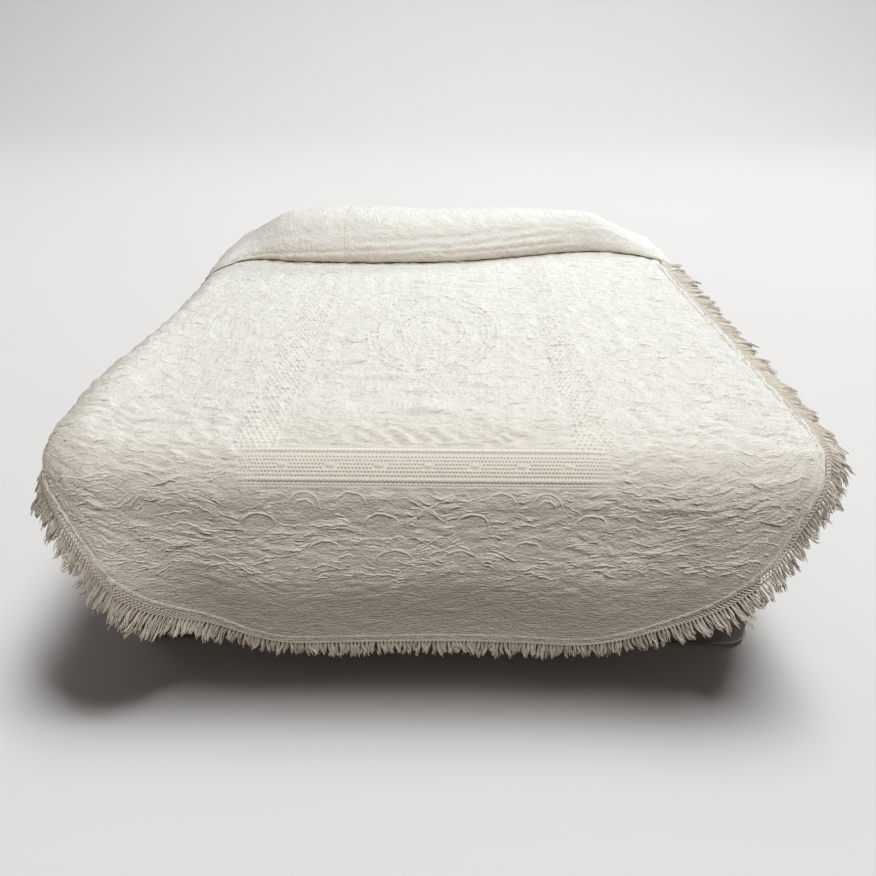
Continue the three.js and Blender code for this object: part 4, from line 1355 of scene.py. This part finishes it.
def twisted_bundles(run, number, shares):
    """Bundles of twisted threads, swaying and drawn together in clumps, and the tone of each thread: random
    for each bundle, with painted shade towards the root and on threads turned away from the face, and the
    run's painted light.
    """
    source = np.random.default_rng(BUNDLE_SEED + number)
    count = len(shares)
    size = {part: lock_size(run, shares, part) for part in LOCK_PARTS.split()}

    def drift(rate, seed):
        return soft_noise(shares * rate, np.full(count, float(number)), seed)

    uneven = 1 + UNEVEN_LENGTH["far"] * drift(rate=37, seed=11)
    uneven = uneven + source.uniform(UNEVEN_LENGTH["shorter"], UNEVEN_LENGTH["longer"], count)
    length = size["length"] * (uneven + UNEVEN_LENGTH["far"] * drift(rate=11, seed=14))
    swing = SWING["far"] * size["lift"] * drift(rate=23, seed=12)
    swing = swing + size["stray"] * source.uniform(SWING["in"], SWING["out"], count)
    aside = source.uniform(-SWAY["aside"], SWAY["aside"], count)
    sway = size["stray"] * (SWAY["far"] * drift(rate=29, seed=13) + aside)
    clumps = np.cumsum(source.random(count) < CLUMPS["parted"])
    for clump in np.unique(clumps):
        held = clumps == clump
        from_middle = shares[held].mean() - shares[held]
        sway[held] += CLUMPS["drawn"] * BUNDLE_PITCH * count * from_middle

    stations = np.linspace(0, 1, STRAND_STEPS)
    reach = size["heading"][:, None] + length[:, None] * stations
    point, along, face = frame_on(run, np.broadcast_to(shares[:, None], reach.shape), reach)
    phase = source.uniform(0, 2 * np.pi, count)[:, None]
    wave = LOCK_WAVE["far"] * np.sin(phase + LOCK_WAVE["turn"] * stations) * stations
    risen = size["lift"][:, None] * (reach / FRINGE_LONG) ** LIFT_CURVE
    centre = point + face * (risen + swing[:, None] * stations ** SWING["curve"])[..., None]
    centre = centre + along * (sway[:, None] * stations ** SWAY["curve"] + wave)[..., None]

    opened = smoothstep(stations, 0.0, LOCK_ROOT["full_from"])
    fullness = size["full"][:, None] * (LOCK_ROOT["share"] + (1 - LOCK_ROOT["share"]) * opened)
    # Painted shade: each thread is coloured darker towards its root, more so on runs with a low root share.
    root = size["root"][:, None]
    painted_root_shade = root + (1 - root) * smoothstep(stations, 0.0, LOCK_ROOT["pale_from"])
    lock_tone_and_shade = (source.uniform(*LOCK_TONE, count) + size["pale"])[:, None] * painted_root_shade
    paths, tones = [], []
    for strand in range(STRANDS):
        start = 2 * np.pi * strand / STRANDS + source.uniform(-TWIST["uneven"], TWIST["uneven"], count)
        turn = start[:, None] + TWIST["turn"] * stations
        loose = fullness * (1 + source.uniform(TWIST["tighter"], TWIST["looser"], count)[:, None] * stations)
        offset = along * (np.cos(turn) * loose)[..., None] + face * (np.sin(turn) * loose)[..., None]
        shorter = 1 - source.uniform(0, TWIST["shorter"], count)[:, None] * stations
        paths.append(centre[:, :1] + (centre - centre[:, :1]) * shorter[..., None] + offset)
        # Painted shade: threads turned away from the bundle's face are coloured darker.
        tones.append(lock_tone_and_shade * (TWIST_SHADE["mean"] + TWIST_SHADE["turned"] * np.sin(turn)))
    radii = STRAND_RADIUS * (1 - TWIST["thinner"] * stations**3)
    lifts = np.concatenate([face] * STRANDS)
    strands = cords(np.concatenate(paths), lifts, radii, round_section(THREAD_SIDES))
    return strands, np.repeat(np.concatenate(tones).ravel(), THREAD_SIDES)


fringe_cotton, shader, place = new_finish("fringe_cotton", {"Sheen Weight": 0.25, "Sheen Roughness": 0.5})
tone = place.carried("tone", "Fac")
fuzz = place.noise(scale=420.0, detail=2.0)
(tone * 0.85 + 0.3 * fuzz - 0.08).tint(FRINGE_DARK, FRINGE_PALE).feed(shader, "Base Color")
(0.86 + 0.1 * fuzz).feed(shader, "Roughness")
fuzz.bump(distance=0.0012, strength=0.8).feed(shader, "Normal")

for number, run in enumerate(FRINGE_RUNS):
    shares, pitch_share = even_shares(run, BUNDLE_PITCH)
    net = netted_heading(run, shares, pitch_share)
    strands, strand_tones = twisted_bundles(run, number, shares)
    points, faces = joined(net, strands)
    fringe = add_piece(
        f"thread_{run['node']}", points, faces, fringe_cotton, sharp_degrees=80)
    # Painted shade: the net is coloured darker on runs whose roots are shaded darker.
    net_shade = NET_SHADE["least"] + NET_SHADE["root"] * run["locks"]["root"]
    mark(fringe, "tone", np.concatenate([np.full(len(net[0]), net_shade), strand_tones]))
    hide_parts(run["node"])


# Hem: a narrow turned edge held by two raised cords of stitching, which run inside the fringed edge from one
# pillow fold to the other and lie flatter across the foot.

HEM_CORDS = (0.0110, 0.0150)
HEM_RADIUS = {"foot": 0.0007, "side": 0.0017, "grows": (0.01, 0.12), "lift": 0.2}
HEM_STEP = 0.008
HEM_SIDES = 6
HEM_STANDING = 0.0010

hem_meshes = []
for inside in HEM_CORDS:
    line, line_up, line_radius = [], [], []
    for run in FRINGE_RUNS:
        shares, _ = even_shares(run, HEM_STEP)
        u, v, out_u, out_v = run["at"](shares)
        u, v = u - out_u * inside, v - out_v * inside
        grown = smoothstep(v, *HEM_RADIUS["grows"])
        radius = HEM_RADIUS["foot"] + (HEM_RADIUS["side"] - HEM_RADIUS["foot"]) * grown
        path, up = above_cloth(u, v, relief(u, v) + HEM_RADIUS["lift"] * radius)
        line.append(path)
        line_up.append(up)
        line_radius.append(radius)
    path, path_up, radii = (np.concatenate(rows)[None] for rows in (line, line_up, line_radius))
    hem_meshes.append(cords(path, path_up, radii, round_section(HEM_SIDES)))
hem_points, hem_faces = joined(*hem_meshes)
hem = add_piece("hem_cording", hem_points, hem_faces, quilted_cotton)
mark_raised(hem, hem_points, HEM_STANDING)


# Studio: a pale floor that sweeps up behind the bed, and a pale wall all round that glows a little.
# The bed has a cool light from high above, a narrow one over its head, a low one from the right and behind,
# and a warm one in front. The floor has two broad lights of its own.

FLOOR_PALE = ((0.82, 0.85, 0.89, 1), (0.84, 0.87, 0.91, 1))
SWEEP = {"half_width": 24.0, "front": -20.0, "bend_from": 8.0, "radius": 6.0, "top": 8.0, "steps": 13}
WALL = {"half_width": 23.5, "half_length": 19.5, "corner": 8.0, "height": 18.0, "step": 1.0, "glow": 0.55}
WALL_PALE = {"low": -2.0, "high": 7.0, "foot": (0.26, 0.255, 0.25, 1), "top": (0.95, 0.95, 0.95, 1)}
LIGHTS = table(
    "name place aim size power spread colour floor",
    ("key", (2.6, -2.4, 12.0), (0.0, 0.0, 0.5), (4.6, 3.0), 150, 180, (0.83, 0.95, 1.0), "EXCLUDE"),
    ("head_light", (0.5, 1.5, 4.3), (0.1, 0.6, 0.6), (2.4, 1.4), 18, 80, (0.83, 0.95, 1.0), "EXCLUDE"),
    ("side_light", (6.0, 5.0, 3.5), (0.0, -0.2, 0.6), (1.8, 1.4), 430, 180, (0.88, 0.96, 1.0), "EXCLUDE"),
    ("front_fill", (1.0, -4.7, 9.0), (0.0, -1.0, 0.4), (3.0, 1.8), 545, 180, (1.0, 0.93, 0.85), "EXCLUDE"),
    ("floor_light", (3.4, 4.2, 18.0), (0.0, -0.6, 0.0), (9.0, 6.0), 3050, 180, (1.0, 0.97, 0.93), "INCLUDE"),
    ("wall_light", (-4.0, 8.0, 12.0), (-3.0, 12.0, 0.0), (26.0, 9.0), 440, 180, (1.0, 0.97, 0.93), "INCLUDE"),
)
AIR = {"Color": (1.0, 0.81, 0.66, 1), "Strength": 0.085}

floor_paint, shader, place = new_finish("pale_floor", {"Roughness": 0.9, "Specular IOR Level": 0.1})
place.noise(scale=0.8, detail=2.0).tint(*FLOOR_PALE).feed(shader, "Base Color")
profile = [(SWEEP["front"], 0.0)]
for angle in np.linspace(0, np.pi / 2, SWEEP["steps"]):
    back = SWEEP["bend_from"] + SWEEP["radius"] * math.sin(angle)
    profile.append((back, SWEEP["radius"] * (1 - math.cos(angle))))
profile.append((SWEEP["bend_from"] + SWEEP["radius"], SWEEP["top"]))
sweep_points = [(side * SWEEP["half_width"], y, z) for y, z in profile for side in (-1, 1)]
sweep_faces = [(2 * k, 2 * k + 1, 2 * k + 3, 2 * k + 2) for k in range(len(profile) - 1)]
floor = new_object("studio_floor", sweep_points, sweep_faces, floor_paint)

wall_paint, shader, place = new_finish("glowing_wall", {"Roughness": 0.9, "Emission Strength": WALL["glow"]})
wall_paint.cycles.emission_sampling = "NONE"
_, _, z = place.axes()
up_wall = z.step(WALL_PALE["low"], WALL_PALE["high"])
up_wall.tint(WALL_PALE["foot"], WALL_PALE["top"]).feed(shader, "Emission Color")
wall_line, _ = rounded_outline(WALL["half_width"], WALL["half_length"], WALL["corner"], WALL["step"])
wall_points = [lifted(wall_line, height) for height in (0.0, WALL["height"])]
around = len(wall_line)
wall_faces = [(i, (i + 1) % around, around + (i + 1) % around, around + i) for i in range(around)]
wall = new_object("studio_wall", wall_points, wall_faces, wall_paint)
for stage in (floor, wall):
    stage.visible_diffuse = False

for row in LIGHTS:
    lamp = bpy.data.lights.new(row["name"], "AREA")
    lamp.shape = "RECTANGLE"
    lamp.size, lamp.size_y = row["size"]
    lamp.energy = row["power"]
    lamp.spread = math.radians(row["spread"])
    lamp.color = row["colour"]
    light = bpy.data.objects.new(row["name"], lamp)
    light.location = row["place"]
    aim = np.array(row["aim"]) - np.array(row["place"])
    light.rotation_euler = (math.acos(-aim[2] / np.linalg.norm(aim)), 0, math.atan2(-aim[0], aim[1]))
    bpy.context.scene.collection.objects.link(light)
    reached = bpy.data.collections.new(f"reached_by_{row['name']}")
    for stage in (floor, wall):
        reached.objects.link(stage)
    for linked in reached.collection_objects:
        linked.light_linking.link_state = row["floor"]
    light.light_linking.receiver_collection = reached

world = bpy.data.worlds.new("studio_air")
world.use_nodes = True
for socket, value in AIR.items():
    world.node_tree.nodes["Background"].inputs[socket].default_value = value
bpy.context.scene.world = world
bpy.context.scene.view_settings.view_transform = "Standard"

PICTURE_PIXELS = 876
FOCAL_PIXELS = 700
HORIZON_PIXELS = 424
CAMERA_PLACE = (0.012, -2.212, 1.443)
CAMERA_PITCH = math.atan(HORIZON_PIXELS / FOCAL_PIXELS)
CAMERA_YAW = 0.0159

camera = bpy.data.cameras.new("camera")
camera.sensor_width = 36
camera.lens = camera.sensor_width * FOCAL_PIXELS / PICTURE_PIXELS
viewer = bpy.data.objects.new("camera", camera)
viewer.location = CAMERA_PLACE
viewer.rotation_euler = (math.pi / 2 - CAMERA_PITCH, 0, CAMERA_YAW)
bpy.context.scene.collection.objects.link(viewer)
bpy.context.scene.camera = viewer
